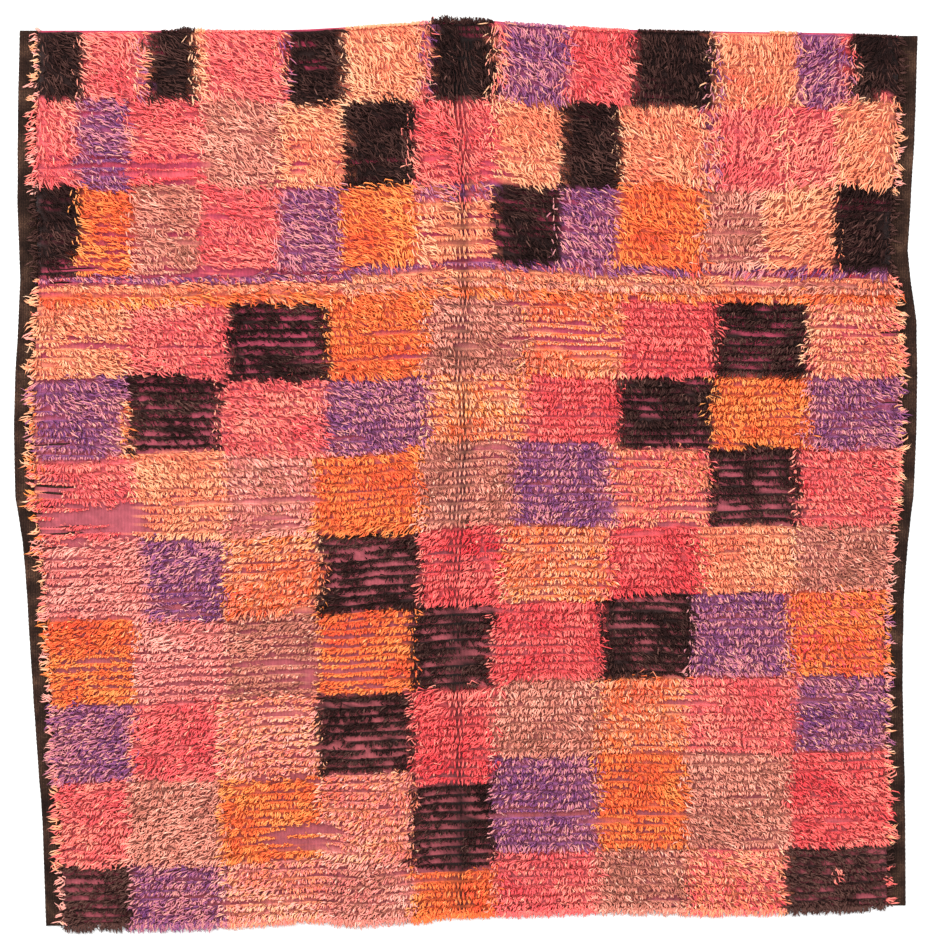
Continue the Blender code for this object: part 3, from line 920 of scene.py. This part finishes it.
def tufts_of_row(row):
    """The tufts of one pile row, as a table of columns."""
    chance = np.random.default_rng(TUFT_SEED + row)
    v = (row + ROOT_SHARE) / ROWS
    spacing = SPACING_LONG if v < SHORT_STARTS else SPACING_SHORT
    count = int(2 * (HALF_WIDTH - SELVEDGE_WIDTH) / spacing)
    u = (np.arange(count) + 0.5) / count
    u = u + chance.uniform(-TUFT_JITTER, TUFT_JITTER, count) / (2 * HALF_WIDTH)
    right, up = field_place(u, v)
    lean = LEAN_SHARE * along(PILE, v, 1) * np.sin(lay_angle(right, up, 0))
    knots = knots_of_row(row, right + lean)
    dyes = knots["dye"]
    inside = knots["inside"]
    up = up + knots["rise"]
    short = (chance.random(count) < SHORT_SHARE) & (v > SHORT_STARTS)
    reach = pile_reach(right, up, row, v, knots)
    keep = reach > BARE_REACH
    from_edge = np.minimum(right - field_edge(-1, up), field_edge(1, up) - right)
    gap = soft_noise(right, up, "edge_gap")
    keep = keep & ((from_edge > EDGE_GAP_WIDTH * gap) | (gap < EDGE_GAP_LEVEL))
    stray = along(PILE, v, 5) * np.clip(reach / along(PILE, v, 1), LEAST_STRAY, 1)
    stray = stray * np.where(near_gaps(right, up), GAP_CALM, 1)
    up = np.minimum(up + stray * chance.uniform(-1, 1, count), row_place(u, 0.0) - HEAD_INSET)
    start = chance.integers(0, TUFTS_A_LOCK)
    lock = (np.arange(count) + start) // TUFTS_A_LOCK
    in_lock = (np.arange(count) + start) % TUFTS_A_LOCK - (TUFTS_A_LOCK - 1) / 2
    lock_turn = chance.normal(0, math.radians(LOCK_ANGLE), lock.max() + 1)[lock]
    lock_reach = chance.uniform(*REACH_RANGE, lock.max() + 1)[lock]
    right, near_crease = comb_crease(right, up)
    angle = lay_angle(right, up) + lock_turn + chance.normal(0, math.radians(TUFT_ANGLE), count)
    angle = (angle + border_lean(chance, inside, dyes)) * (1 - CREASE_UPRIGHT * near_crease)
    angle = np.clip(angle, -math.radians(MOST_ANGLE), math.radians(MOST_ANGLE))
    reach = reach * lock_reach * chance.uniform(*REACH_JITTER, count)
    rise = CREST_FLAT + (1 - CREST_FLAT) * reach / along(PILE, v, 1)
    crest = along(PILE, v, 3) * np.clip(rise, *CREST_RANGE)
    crest = crest * chance.uniform(*CREST_JITTER, count) * (1 - CREASE_LOSS * near_crease)
    tip = along(PILE, v, 4) * chance.uniform(*TIP_JITTER, count)
    reach = reach / np.maximum(np.cos(angle), LEAST_COSINE_LONG if v < SHORT_STARTS else LEAST_COSINE_SHORT)
    pull = LOCK_PULL * (1 - near_crease)
    angle = angle - pull * in_lock * spacing / np.maximum(reach, BARE_REACH)
    pale = (inside[0] < PALE_ZONE) & (dyes != "K")
    tones = knots["tone"] + BORDER_PALE * pale
    drift = soft_noise(right, up, "tone") + soft_noise(right, up, "broad_tone") - 1
    tones = TONE_MIDDLE + tones + 2 * TONE_DRIFT * drift
    calm = np.maximum(near_crease, row < 1)
    table = tuft_table(chance, right, up, angle, reach, crest, tip, dyes, tones, short, calm)
    return {name: column[keep] for name, column in table.items()}


def edge_tufts(row, side):
    """The locks at one end of a pile row, which fan out over the selvedge."""
    chance = np.random.default_rng(EDGE_SEED + 2 * row + (side > 0))
    count = EDGE_LOCKS * EDGE_TUFTS
    lock = np.arange(count) // EDGE_TUFTS
    in_lock = np.arange(count) % EDGE_TUFTS - (EDGE_TUFTS - 1) / 2
    place = (lock + chance.uniform(*EDGE_PLACE, EDGE_LOCKS)[lock]) / EDGE_LOCKS
    u = np.full(count, 0.0 if side < 0 else 1.0)
    right, up = field_place(u, (row + EDGE_ROW_SHARE * place) / ROWS)
    up = up + EDGE_SPACING * in_lock
    right = right - side * chance.uniform(0, EDGE_WIDTH, count)
    names = next(entry[2 if side < 0 else 3] for entry in EDGE_DYES if entry[0] <= row < entry[1])
    dyes = np.array([names[number] for number in chance.integers(0, len(names), EDGE_LOCKS)])[lock]
    turn = np.radians(chance.uniform(*EDGE_FAN, EDGE_LOCKS))[lock] * side
    turn = turn + chance.normal(0, math.radians(EDGE_ANGLE_SHARE * TUFT_ANGLE), count)
    reach = chance.uniform(*(EDGE_REACH_LEFT if side < 0 else EDGE_REACH_RIGHT), EDGE_LOCKS)[lock]
    reach = reach * chance.uniform(*EDGE_REACH_JITTER, count)
    turn = turn - side * EDGE_PULL * EDGE_SPACING * in_lock / reach
    room = HALF_WIDTH - abs(right)
    reach = np.minimum(reach, room / np.maximum(abs(np.sin(turn)), EDGE_LEAST_SINE))
    crest = EDGE_CREST * chance.uniform(*EDGE_CREST_JITTER, count)
    tip = EDGE_TIP * chance.uniform(*EDGE_TIP_JITTER, count)
    tones = np.full(count, TONE_MIDDLE + EDGE_TONE)
    return tuft_table(chance, right, up, turn, reach, crest, tip, dyes, tones)


def head_reach(right):
    """How far the pile stands past the head of the rug at each place across it."""
    reach = np.zeros_like(right)
    for left_end, right_end, at_left, at_right in HEAD_LOCKS:
        share = (right - left_end) / (right_end - left_end)
        reach = np.where((share > 0) & (share < 1), at_left + (at_right - at_left) * share, reach)
    return reach


def end_tufts(end):
    """The tufts that flop past the head or the foot."""
    chance = np.random.default_rng(END_SEED + end)
    row = 0 if end > 0 else ROWS
    count = END_LAYERS * int(2 * (HALF_WIDTH - SELVEDGE_WIDTH) / SPACING_SHORT)
    u = chance.uniform(0, 1, count)
    right, up = field_place(u, 0.0 if end > 0 else 1.0)
    knots = knots_of_row(row, right)
    locks = head_reach(right) if end > 0 else along(ENDS, right, 4)
    room = HALF_LENGTH - abs(up)
    reach = np.minimum(locks * chance.uniform(*END_REACH_JITTER, count), room)
    keep = locks > 0
    turn = chance.normal(0, math.radians(END_TURN), count)
    angle = turn + (math.pi if end > 0 else 0)
    crest = END_CREST * chance.uniform(*END_CREST_JITTER, count)
    tip = END_TIP * chance.uniform(*END_TIP_JITTER, count)
    up = up - end * END_INSET
    tones = TONE_MIDDLE + knots["tone"]
    table = tuft_table(chance, right, up, angle, reach + END_INSET, crest, tip, knots["dye"], tones)
    return {name: column[keep] for name, column in table.items()}


def all_tufts():
    """Every tuft of the rug in one table."""
    parts = [tufts_of_row(row) for row in range(ROWS)] + [end_tufts(1), end_tufts(-1)]
    parts += [edge_tufts(row, side) for row in range(ROWS) for side in (-1, 1)]
    return {name: np.concatenate([part[name] for part in parts]) for name in parts[0]}


def tuft_points(tufts, rings):
    """The points of each tuft: its root, its rings and its tip."""
    count = len(tufts["right"])
    right = tufts["right"]
    up = tufts["up"]
    centres = [np.stack([right, up, np.full(count, ROOT_HEIGHT)], 1)]
    shares = [0.0] + [ring[0] for ring in rings] + [1.0]
    heights = [tufts["crest"] * ring[2] for ring in rings] + [tufts["tip"]]
    for step, height in enumerate(heights, 1):
        even = step - 0.5 * len(shares)
        turn = np.where((tufts["wave"] > 0) & (len(rings) > 1), even, (-1) ** step)
        angle = tufts["angle"] + tufts["curl"] * turn
        run = tufts["reach"] * (shares[step] - shares[step - 1])
        right = right + np.sin(angle) * run
        up = up - np.cos(angle) * run
        centres.append(np.stack([right, up, height], 1))
    points = [centres[0]]
    for number, (_, width, _) in enumerate(rings, 1):
        run = centres[number + 1] - centres[number - 1]
        run = run / np.linalg.norm(run, axis=1)[:, None]
        side = np.stack([-run[:, 1], run[:, 0], np.zeros(count)], 1)
        side = side / np.linalg.norm(side, axis=1)[:, None]
        out = np.cross(run, side)
        radius = 0.5 * width * tufts["width"][:, None]
        for corner in range(SIDES_OF_TUFT):
            turn = math.tau * (0.25 + corner / SIDES_OF_TUFT)
            points.append(centres[number] + radius * (math.cos(turn) * side + math.sin(turn) * out))
    points.append(centres[-1])
    return np.stack(points, 1)


def tuft_faces(rings):
    """The faces of one tuft, by the numbers of its points, and which of them are its underside."""
    faces = []
    last = 1 + SIDES_OF_TUFT * (len(rings) - 1)
    tip = last + SIDES_OF_TUFT
    sides = [(corner, (corner + 1) % SIDES_OF_TUFT) for corner in range(SIDES_OF_TUFT)]
    faces += [(0, 1 + after, 1 + corner) for corner, after in sides]
    for ring in range(1, last, SIDES_OF_TUFT):
        beyond = ring + SIDES_OF_TUFT
        faces += [(ring + corner, ring + after, beyond + after, beyond + corner) for corner, after in sides]
    faces += [(last + corner, last + after, tip) for corner, after in sides]
    under = [number % SIDES_OF_TUFT == UNDERSIDE for number in range(len(faces))]
    return faces, under


def joined_tufts(tufts, rings, first_point, first_cell, cells):
    """All tufts of one form: points, face corners and sizes, values for each point, and the map."""
    count = len(tufts["right"])
    points = tuft_points(tufts, rings)
    faces, under = tuft_faces(rings)
    pattern = np.array([corner for face in faces for corner in face])
    below = np.array([low for face, low in zip(faces, under) for _ in face])
    each = points.shape[1]
    corners = pattern[None, :] + first_point + each * np.arange(count)[:, None]
    sizes = np.tile([len(face) for face in faces], count)
    shares = np.array([0.0] + [ring[0] for ring in rings for _ in range(SIDES_OF_TUFT)] + [1.0])
    # How near each point is to the top ridge, for the painted shade and highlight of the wool
    ridges = np.array([ROOT_RIDGE] + [1.0, 0.0, 0.0] * len(rings) + [TIP_RIDGE])
    across = np.array([CELL_MIDDLE, *(CELL_RING * len(rings)), CELL_MIDDLE])[pattern]
    across = np.where(below, CELL_UNDER + CELL_UNDER_WIDTH * across, across)
    down = (CELL_TOP + CELL_HEIGHT * shares)[pattern]
    number = first_cell + np.arange(count)[:, None]
    places = np.stack([number % cells + across, number // cells + down], 2) / cells
    values = np.stack([np.tile(shares, count), np.tile(ridges, count)])
    return points.reshape(-1, 3), corners.ravel(), sizes, values.T, places.reshape(-1, 2)


def mesh_from(name, points, corners, sizes):
    """A mesh object from its points, the corners of its faces in one run, and each face's size."""
    data = bpy.data.meshes.new(name)
    data.vertices.add(len(points))
    data.vertices.foreach_set("co", np.asarray(points, np.float32).ravel())
    data.loops.add(len(corners))
    data.loops.foreach_set("vertex_index", np.asarray(corners, np.int32))
    data.polygons.add(len(sizes))
    starts = np.concatenate([[0], np.cumsum(sizes)[:-1]])
    data.polygons.foreach_set("loop_start", starts.astype(np.int32))
    data.update(calc_edges=True)
    data.shade_smooth()
    thing = bpy.data.objects.new(name, data)
    bpy.context.scene.collection.objects.link(thing)
    return thing


def add_values(thing, name, values, kind="FLOAT"):
    """Gives each point of a mesh a value, or a colour, that its material reads by name."""
    layer = thing.data.attributes.new(name, kind, "POINT")
    field = "value" if kind == "FLOAT" else "color"
    layer.data.foreach_set(field, np.asarray(values, np.float32).ravel())


def add_map(thing, places):
    """Gives each face corner of a mesh a place on its colour map."""
    layer = thing.data.uv_layers.new(name="OFBake")
    layer.data.foreach_set("uv", np.asarray(places, np.float32).ravel())


def closed_slab(name, grid, flip=False):
    """A mesh from a grid of points, with walls down to the floor and a flat underside.

    Also gives the grid's rim, the numbers of the points at its face corners, and which of those
    corners are on the walls and the underside.
    """
    lines, columns = grid.shape[:2]
    number = np.arange(lines * columns).reshape(lines, columns)
    quads = [number[:-1, :-1], number[1:, :-1], number[1:, 1:], number[:-1, 1:]]
    quads = np.stack(quads, -1).reshape(-1, 4)
    rim = np.concatenate([number[:, 0], number[-1, 1:], number[-2::-1, -1], number[0, -2:0:-1]])
    below = lines * columns + np.arange(len(rim))
    walls = np.stack([rim, below, np.roll(below, -1), np.roll(rim, -1)], -1)
    faces = np.concatenate([quads, walls])
    underside = below[::-1]
    if flip:
        faces = faces[:, ::-1]
        underside = below
    corners = np.concatenate([faces.ravel(), underside])
    points = grid.reshape(-1, 3)
    points = np.concatenate([points, points[rim] * (1, 1, 0)])
    thing = mesh_from(name, points, corners, [4] * len(faces) + [len(below)])
    return thing, points, rim, corners, np.arange(len(corners)) >= quads.size


def build_pile(letter, tufts):
    """All tufts of one dye as one joined mesh."""
    name, spread, pale_share, colors = DYES[letter]
    count = np.count_nonzero(tufts["dye"] == letter)
    cells = math.ceil(math.sqrt(count))
    parts = []
    values = []
    first_point = 0
    first_cell = 0
    for short, rings in ((False, LONG_TUFT), (True, SHORT_TUFT)):
        chosen = (tufts["dye"] == letter) & (tufts["short"] == short)
        mine = {key: column[chosen] for key, column in tufts.items()}
        part = joined_tufts(mine, rings, first_point, first_cell, cells)
        tone = np.clip(mine["tone"] + 0.5 * spread * mine["wander"], *TONE_RANGE)
        pale = mine["luck"] < pale_share
        tone = np.where(pale, PALE_STARTS + (1 - PALE_STARTS) * mine["luck"] / pale_share, tone)
        values.append(np.repeat(tone, len(part[0]) // max(len(tone), 1)))
        parts.append(part)
        first_point += len(part[0])
        first_cell += len(tone)
    points, corners, sizes, shades, places = (np.concatenate(column) for column in zip(*parts))
    thing = mesh_from(name, points, corners, sizes)
    add_values(thing, "tone", np.concatenate(values))
    # Share along the tuft and nearness to its top ridge, which the wool's painted shade reads
    add_values(thing, "along", shades[:, 0])
    add_values(thing, "ridge", shades[:, 1])
    add_map(thing, places)
    thing.data.materials.append(wool(name, colors))
    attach(thing, "root")
    return thing


def linear(color):
    """A linear colour from one with parts of 0 to 255."""
    parts = [part / 255 for part in color]
    parts = [part / 12.92 if part <= 0.04045 else ((part + 0.055) / 1.055) ** 2.4 for part in parts]
    return (*parts, 1.0)


def new_material(name, values):
    """A node material with its shader, whose inputs get the values given by their names."""
    material = bpy.data.materials.new(name)
    material.use_nodes = True
    tree = material.node_tree
    shader = tree.nodes["Principled BSDF"]
    for socket, value in values.items():
        shader.inputs[socket].default_value = value
    return material, tree, shader


def add_node(tree, kind, inputs, output=0, **settings):
    """Adds a node and gives one of its outputs. An input is a value, or another node's output."""
    node = tree.nodes.new("ShaderNode" + kind)
    for name, value in settings.items():
        setattr(node, name, value)
    for name, value in inputs.items():
        if isinstance(value, bpy.types.NodeSocket):
            tree.links.new(value, node.inputs[name])
        else:
            node.inputs[name].default_value = value
    return node.outputs[output]


def calculate(tree, operation, *values):
    """The result of a sum or product of values and other nodes' outputs."""
    return add_node(tree, "Math", dict(enumerate(values)), operation=operation)


def grain(tree, places, scale, detail, roughness=0.5):
    """A noise texture over an object's own places, for its fibres and flecks."""
    inputs = {"Vector": places, "Scale": scale, "Detail": detail, "Roughness": roughness}
    return add_node(tree, "TexNoise", inputs, "Fac")


def stored(tree, name, output="Fac"):
    """A value that the mesh keeps for each point."""
    return add_node(tree, "Attribute", {}, output, attribute_name=name)


def own_places(tree):
    """Places on the object in its own frame, in metres."""
    return add_node(tree, "TexCoord", {}, "Object")


def remap(tree, value, **ends):
    """A value moved from one range to another."""
    inputs = {name.replace("_", " ").title(): end for name, end in ends.items()}
    return add_node(tree, "MapRange", {"Value": value, **inputs})


def color_ramp(tree, value, stops):
    """Colours of a ramp by value. The stops are places on it and colours with parts of 0 to 255."""
    color = add_node(tree, "ValToRGB", {"Fac": value}, "Color")
    elements = color.node.color_ramp.elements
    while len(elements) < len(stops):
        elements.new(0.5)
    for element, (place, stop) in zip(elements, stops):
        element.position = place
        element.color = linear(stop)
    return color


def shaded(tree, color, shade):
    """A colour made lighter or darker."""
    return add_node(tree, "VectorMath", {0: color, "Scale": shade}, operation="SCALE")


def use_color(tree, shader, color):
    """Gives the shader its colour."""
    tree.links.new(color, shader.inputs["Base Color"])


def use_bumps(tree, shader, height, strength, distance):
    """Roughens the shader's surface."""
    bumps = add_node(tree, "Bump", {"Height": height, "Strength": strength, "Distance": distance}, "Normal")
    tree.links.new(bumps, shader.inputs["Normal"])


def wool(name, colors):
    """Matt hand-spun wool in one dye, streaked along the tuft, with painted shade towards the knot and along
    the tuft's sides and a painted highlight along its top ridge.
    """
    material, tree, shader = new_material(name, {
        "Roughness": 0.92, "Sheen Weight": 0.10, "Sheen Roughness": 0.5,
        "Sheen Tint": linear(colors[-1]), "Specular IOR Level": 0.08,
    })
    places = own_places(tree)
    fleck = grain(tree, places, scale=330.0, detail=3.0, roughness=0.6)
    fleck = calculate(tree, "MULTIPLY_ADD", fleck, FLECK_GAIN, FLECK_SHIFT)
    tone = calculate(tree, "ADD", stored(tree, "tone"), fleck)
    color = color_ramp(tree, tone, list(zip(RAMP_PLACES, colors)))
    # Painted shade towards the knot and along the tuft's sides, and a painted highlight on its top ridge
    root = remap(tree, stored(tree, "along"), from_max=ROOT_SHADE_ENDS, to_min=ROOT_SHADE)
    edge = remap(tree, stored(tree, "ridge"), to_min=EDGE_SHADE, to_max=RIDGE_SHADE)
    use_color(tree, shader, shaded(tree, color, calculate(tree, "MULTIPLY", root, edge)))
    fibre = grain(tree, places, scale=1500.0, detail=2.0)
    use_bumps(tree, shader, fibre, strength=0.35, distance=0.0006)
    return material


def ground_cover(right, up, on_ridge, rows):
    """How much of each point of the ground is under wool, from 0 on the bare weave to 1, and its dye."""
    cover = np.zeros_like(right)
    dyes = []
    for line, row in enumerate(rows):
        knots = knots_of_row(row, right[line])
        reach = pile_reach(right[line], up[line], row, row / ROWS, knots)
        starts = BARE_REACH if on_ridge[line] else COVER_STARTS
        cover[line] = np.clip((reach - starts) / COVER_FADE, 0, 1)
        if not on_ridge[line]:
            # Between covered rows the ground takes part of the dye, as painted shade of the deep pile
            cover[line] = np.where(knots["dye"] == "K", cover[line], GAP_COVER * cover[line])
        dyes.append(knots["dye"])
    cover[:HEAD_LINES] = 0
    return cover, dyes


def ground_tints(right, up, cover, dyes):
    """Linear colours of the ground: knot ridges in the dye of their block, and the bare weave. The dye under
    the pile is darkened as painted shade of the deep pile, and the ground at the crease as painted shadow.
    """
    stations = sorted(GROUND_TINTS)
    levels = [place for place, _ in stations]
    tint = [np.interp(up, levels, [color[part] for _, color in stations]) for part in range(3)]
    tint = np.stack(tint, -1)
    # The dye under the pile, darkened as painted shade of the deep pile between the tufts
    pile_shade_tints = GROUND_SHADE * np.array([[linear(DYES[dye][3][1])[:3] for dye in line] for line in dyes])
    tint = tint + (pile_shade_tints - tint) * cover[:, :, None]
    # Painted shadow on the ground at the crease
    _, near_crease = comb_crease(right, up)
    return tint * (1 + (CREASE_SHADE - 1) * near_crease)[:, :, None]


def build_ground():
    """The ground cloth: a plain weave with a low ridge of knots for each pile row."""
    lines = [(row, share, high) for row in range(ROWS) for share, high in RIDGE]
    lines = lines + [(ROWS - 1, 1.0, False)]
    u = np.linspace(0, 1, GROUND_COLUMNS + 1)
    right = []
    up = []
    for row, share, _ in lines:
        across, along_rug = field_place(u, (row + share) / ROWS)
        right.append(across)
        up.append(along_rug)
    right = np.array(right)
    up = np.array(up)
    on_ridge = np.array([high for _, _, high in lines])
    cover, dyes = ground_cover(right, up, on_ridge, [row for row, _, _ in lines])
    height = WEAVE_HEIGHT + (RIDGE_HEIGHT - WEAVE_HEIGHT) * cover * on_ridge[:, None]
    height = height + GROUND_BUMPS * (soft_noise(right, up, "ground") - 0.5)
    grid = np.stack([right, up, height], -1)
    thing, points, rim, corners, under = closed_slab("ground_weave", grid)
    tint = ground_tints(right, up, cover, dyes).reshape(-1, 3)
    tint = np.concatenate([tint, tint[rim]])
    add_values(thing, "tint", np.concatenate([tint, np.ones((len(tint), 1))], 1), "FLOAT_COLOR")
    places = (points[:, :2] / (2 * HALF_LENGTH) + 0.5)[corners]
    places[under, 0] = UNDERSIDE_MAP[0] + UNDERSIDE_MAP[1] * places[under, 0]
    places[~under, 0] = GROUND_MAP * places[~under, 0]
    add_map(thing, places)
    thing.data.materials.append(weave_material())
    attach(thing, "root")
    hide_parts("field")
    return thing


def build_dark_weft():
    """The picks of dark hair that run in from the selvedges, each over one warp and under the next."""
    points = []
    faces = []
    for left_end, right_end, at_left, at_right, width in DARK_WEFT:
        count = int((right_end - left_end) / CM_IN_M / WEFT_STEP)
        share = np.linspace(0, 1, count)
        right = (left_end + (right_end - left_end) * share) / CM_IN_M
        up = (at_left + (at_right - at_left) * share) / CM_IN_M
        up = up + WEFT_DRIFT * (soft_noise(right, 0, "dark_weft", len(points)) - 0.5)
        taper = np.sqrt(np.clip(WEFT_TAPER * np.minimum(share, 1 - share), WEFT_LEAST, 1))
        half = 0.5 * width / MM_IN_M * taper
        top = WEFT_TOP - WEFT_DIP * (np.arange(count) % 2)
        first = sum(len(part) for part in points)
        points.append(np.stack([right, up + half, np.full(count, WEAVE_HEIGHT)], 1))
        points.append(np.stack([right, up, top], 1))
        points.append(np.stack([right, up - half, np.full(count, WEAVE_HEIGHT)], 1))
        for step in range(count - 1):
            for low, high in ((0, count), (count, 2 * count), (2 * count, 0)):
                near = first + low + step
                far = first + high + step
                faces.append((near, far, far + 1, near + 1))
        start = (first, first + count, first + 2 * count)
        faces += [start[::-1], tuple(corner + count - 1 for corner in start)]
    points = np.concatenate(points)
    corners = np.array([corner for face in faces for corner in face])
    thing = mesh_from("dark_weft", points, corners, [len(face) for face in faces])
    add_map(thing, points[corners][:, :2] / (2 * HALF_LENGTH) + 0.5)
    thing.data.materials.append(hair_material("dark_weft_hair"))
    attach(thing, "root")
    return thing


def ribs(tree, places, direction, pitch):
    """A band texture with one band for each warp or weft thread."""
    scale = 2 * math.pi / (WAVE_TEXTURE_FACTOR * pitch)
    inputs = {"Vector": places, "Scale": scale, "Distortion": 1.2, "Detail": 1.0, "Detail Scale": 1.0}
    return add_node(tree, "TexWave", inputs, "Fac", bands_direction=direction)


def weave_material():
    """The dusty crimson ground weave, ribbed along the rug, with painted light and shade on its ribs."""
    material, tree, shader = new_material("ground_wool", {
        "Roughness": 0.9, "Sheen Weight": 0.1, "Specular IOR Level": 0.2,
    })
    places = own_places(tree)
    warp = ribs(tree, places, "X", WARP_PITCH)
    weft = ribs(tree, places, "Y", WEFT_PITCH)
    both = calculate(tree, "MULTIPLY_ADD", weft, WEFT_SHARE, warp)
    # Painted light and shade of the weave's relief: the colour is lighter on the threads and darker between
    # them
    light = remap(tree, both, from_max=1 + WEFT_SHARE, to_min=0.55, to_max=1.35)
    dust = grain(tree, places, scale=60.0, detail=5.0)
    dust = remap(tree, dust, from_min=0.3, from_max=0.7, to_min=0.8, to_max=1.25)
    tint = stored(tree, "tint", "Color")
    use_color(tree, shader, shaded(tree, tint, calculate(tree, "MULTIPLY", light, dust)))
    use_bumps(tree, shader, both, strength=0.6, distance=0.0008)
    return material


def build_selvedge(node, side):
    """One dark side strip: warp cords along the rug, wrapped with weft at the outer edge."""
    column = 1 if side < 0 else 2
    u = 0.0 if side < 0 else 1.0
    head = row_place(u, 0.0)
    foot = row_place(u, 1.0)
    count = int((head - foot) / SELVEDGE_STEP)
    up = np.linspace(head, foot, count)
    inner = field_edge(side, up) + side * GAP
    outer = side * along(SIDES, up, column)
    wrap = 0.5 + 0.5 * np.cos(2 * math.pi * up / WRAP_PITCH + WRAP_DRIFT * soft_noise(up, 0, "wrap"))
    outer = outer - side * WRAP_DEPTH * (wrap + soft_noise(up, 0, "wrap_depth"))
    shares = np.array([row[0] for row in SELVEDGE_SECTION])
    heights = np.array([row[1] for row in SELVEDGE_SECTION])
    cord = np.floor(shares * CORDS)
    beat = WEFT_LIFT * np.sin(2 * math.pi * up[:, None] / WEFT_BEAT + math.pi * cord[None, :])
    right = inner[:, None] + (outer - inner)[:, None] * shares[None, :]
    bumps = HAIR_BUMPS * (soft_noise(right * HAIR_STRETCH, up[:, None], "hair") - 0.5)
    height = heights[None, :] + beat * (shares < 1) + bumps
    grid = np.stack([right, np.broadcast_to(up[:, None], right.shape), height], -1)
    thing, points, rim, corners, under = closed_slab(node + "_weave", grid, side < 0)
    across = np.concatenate([np.tile(shares, count), np.tile(shares, count)[rim]])
    down = (points[:, 1] - foot) / (head - foot)
    places = np.stack([SELVEDGE_MAP[0] + SELVEDGE_MAP[1] * across, down], -1)[corners]
    places[under, 0] = SELVEDGE_UNDER_MAP[0] + SELVEDGE_UNDER_MAP[1] * places[under, 0]
    add_map(thing, places)
    thing.data.materials.append(hair_material(node + "_hair"))
    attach(thing, "root")
    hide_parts(node)
    return thing


def hair_material(name):
    """Dark goat hair in a plain weave, with brown and black hairs mixed."""
    material, tree, shader = new_material(name, {
        "Roughness": 0.8, "Sheen Weight": 0.03, "Specular IOR Level": 0.06,
    })
    places = own_places(tree)
    warp = ribs(tree, places, "X", HAIR_WARP_PITCH)
    weft = ribs(tree, places, "Y", HAIR_WEFT_PITCH)
    both = calculate(tree, "MULTIPLY", warp, weft)
    hairs = grain(tree, places, scale=330.0, detail=4.0, roughness=0.7)
    cloud = grain(tree, places, scale=22.0, detail=2.0)
    mixed = calculate(tree, "MULTIPLY_ADD", both, WEFT_SHARE, calculate(tree, "ADD", hairs, cloud))
    spread = remap(tree, mixed, from_min=0.75, from_max=1.45)
    use_color(tree, shader, color_ramp(tree, spread, HAIR_COLORS))
    use_bumps(tree, shader, both, strength=0.7, distance=0.0010)
    return material


def build_studio():
    """A pale floor, soft even light and a camera straight above the rug."""
    scene = bpy.context.scene
    bpy.ops.mesh.primitive_plane_add(size=FLOOR_SIZE)
    floor = bpy.context.object
    floor.name = "floor"
    paint = {"Roughness": 0.8, "Base Color": FLOOR_COLOR}
    floor.data.materials.append(new_material("floor_paint", paint)[0])
    world = bpy.data.worlds.new("studio")
    world.use_nodes = True
    background = world.node_tree.nodes["Background"]
    background.inputs["Color"].default_value = (1, 1, 1, 1)
    background.inputs["Strength"].default_value = WORLD_STRENGTH
    scene.world = world
    for name, place, size, power, color in LAMPS:
        lamp = bpy.data.lights.new(name, "AREA")
        lamp.size = size
        lamp.energy = power
        lamp.color = color
        thing = bpy.data.objects.new(name, lamp)
        thing.location = place
        aim = -thing.location
        thing.rotation_euler = aim.to_track_quat("-Z", "Y").to_euler()
        scene.collection.objects.link(thing)
    lens = bpy.data.cameras.new("camera")
    lens.sensor_width = SENSOR
    lens.lens = SENSOR * CAMERA_HEIGHT / FRAME_LENGTH
    camera = bpy.data.objects.new("camera", lens)
    camera.location = (0, 0, CAMERA_HEIGHT)
    scene.collection.objects.link(camera)
    scene.camera = camera
    scene.view_settings.view_transform = "Standard"


build_studio()
tufts = all_tufts()
ground = build_ground()
selvedges = [build_selvedge("selvedge_left", -1), build_selvedge("selvedge_right", 1)]
pile = [build_pile(letter, tufts) for letter in DYES]
weft = build_dark_weft()
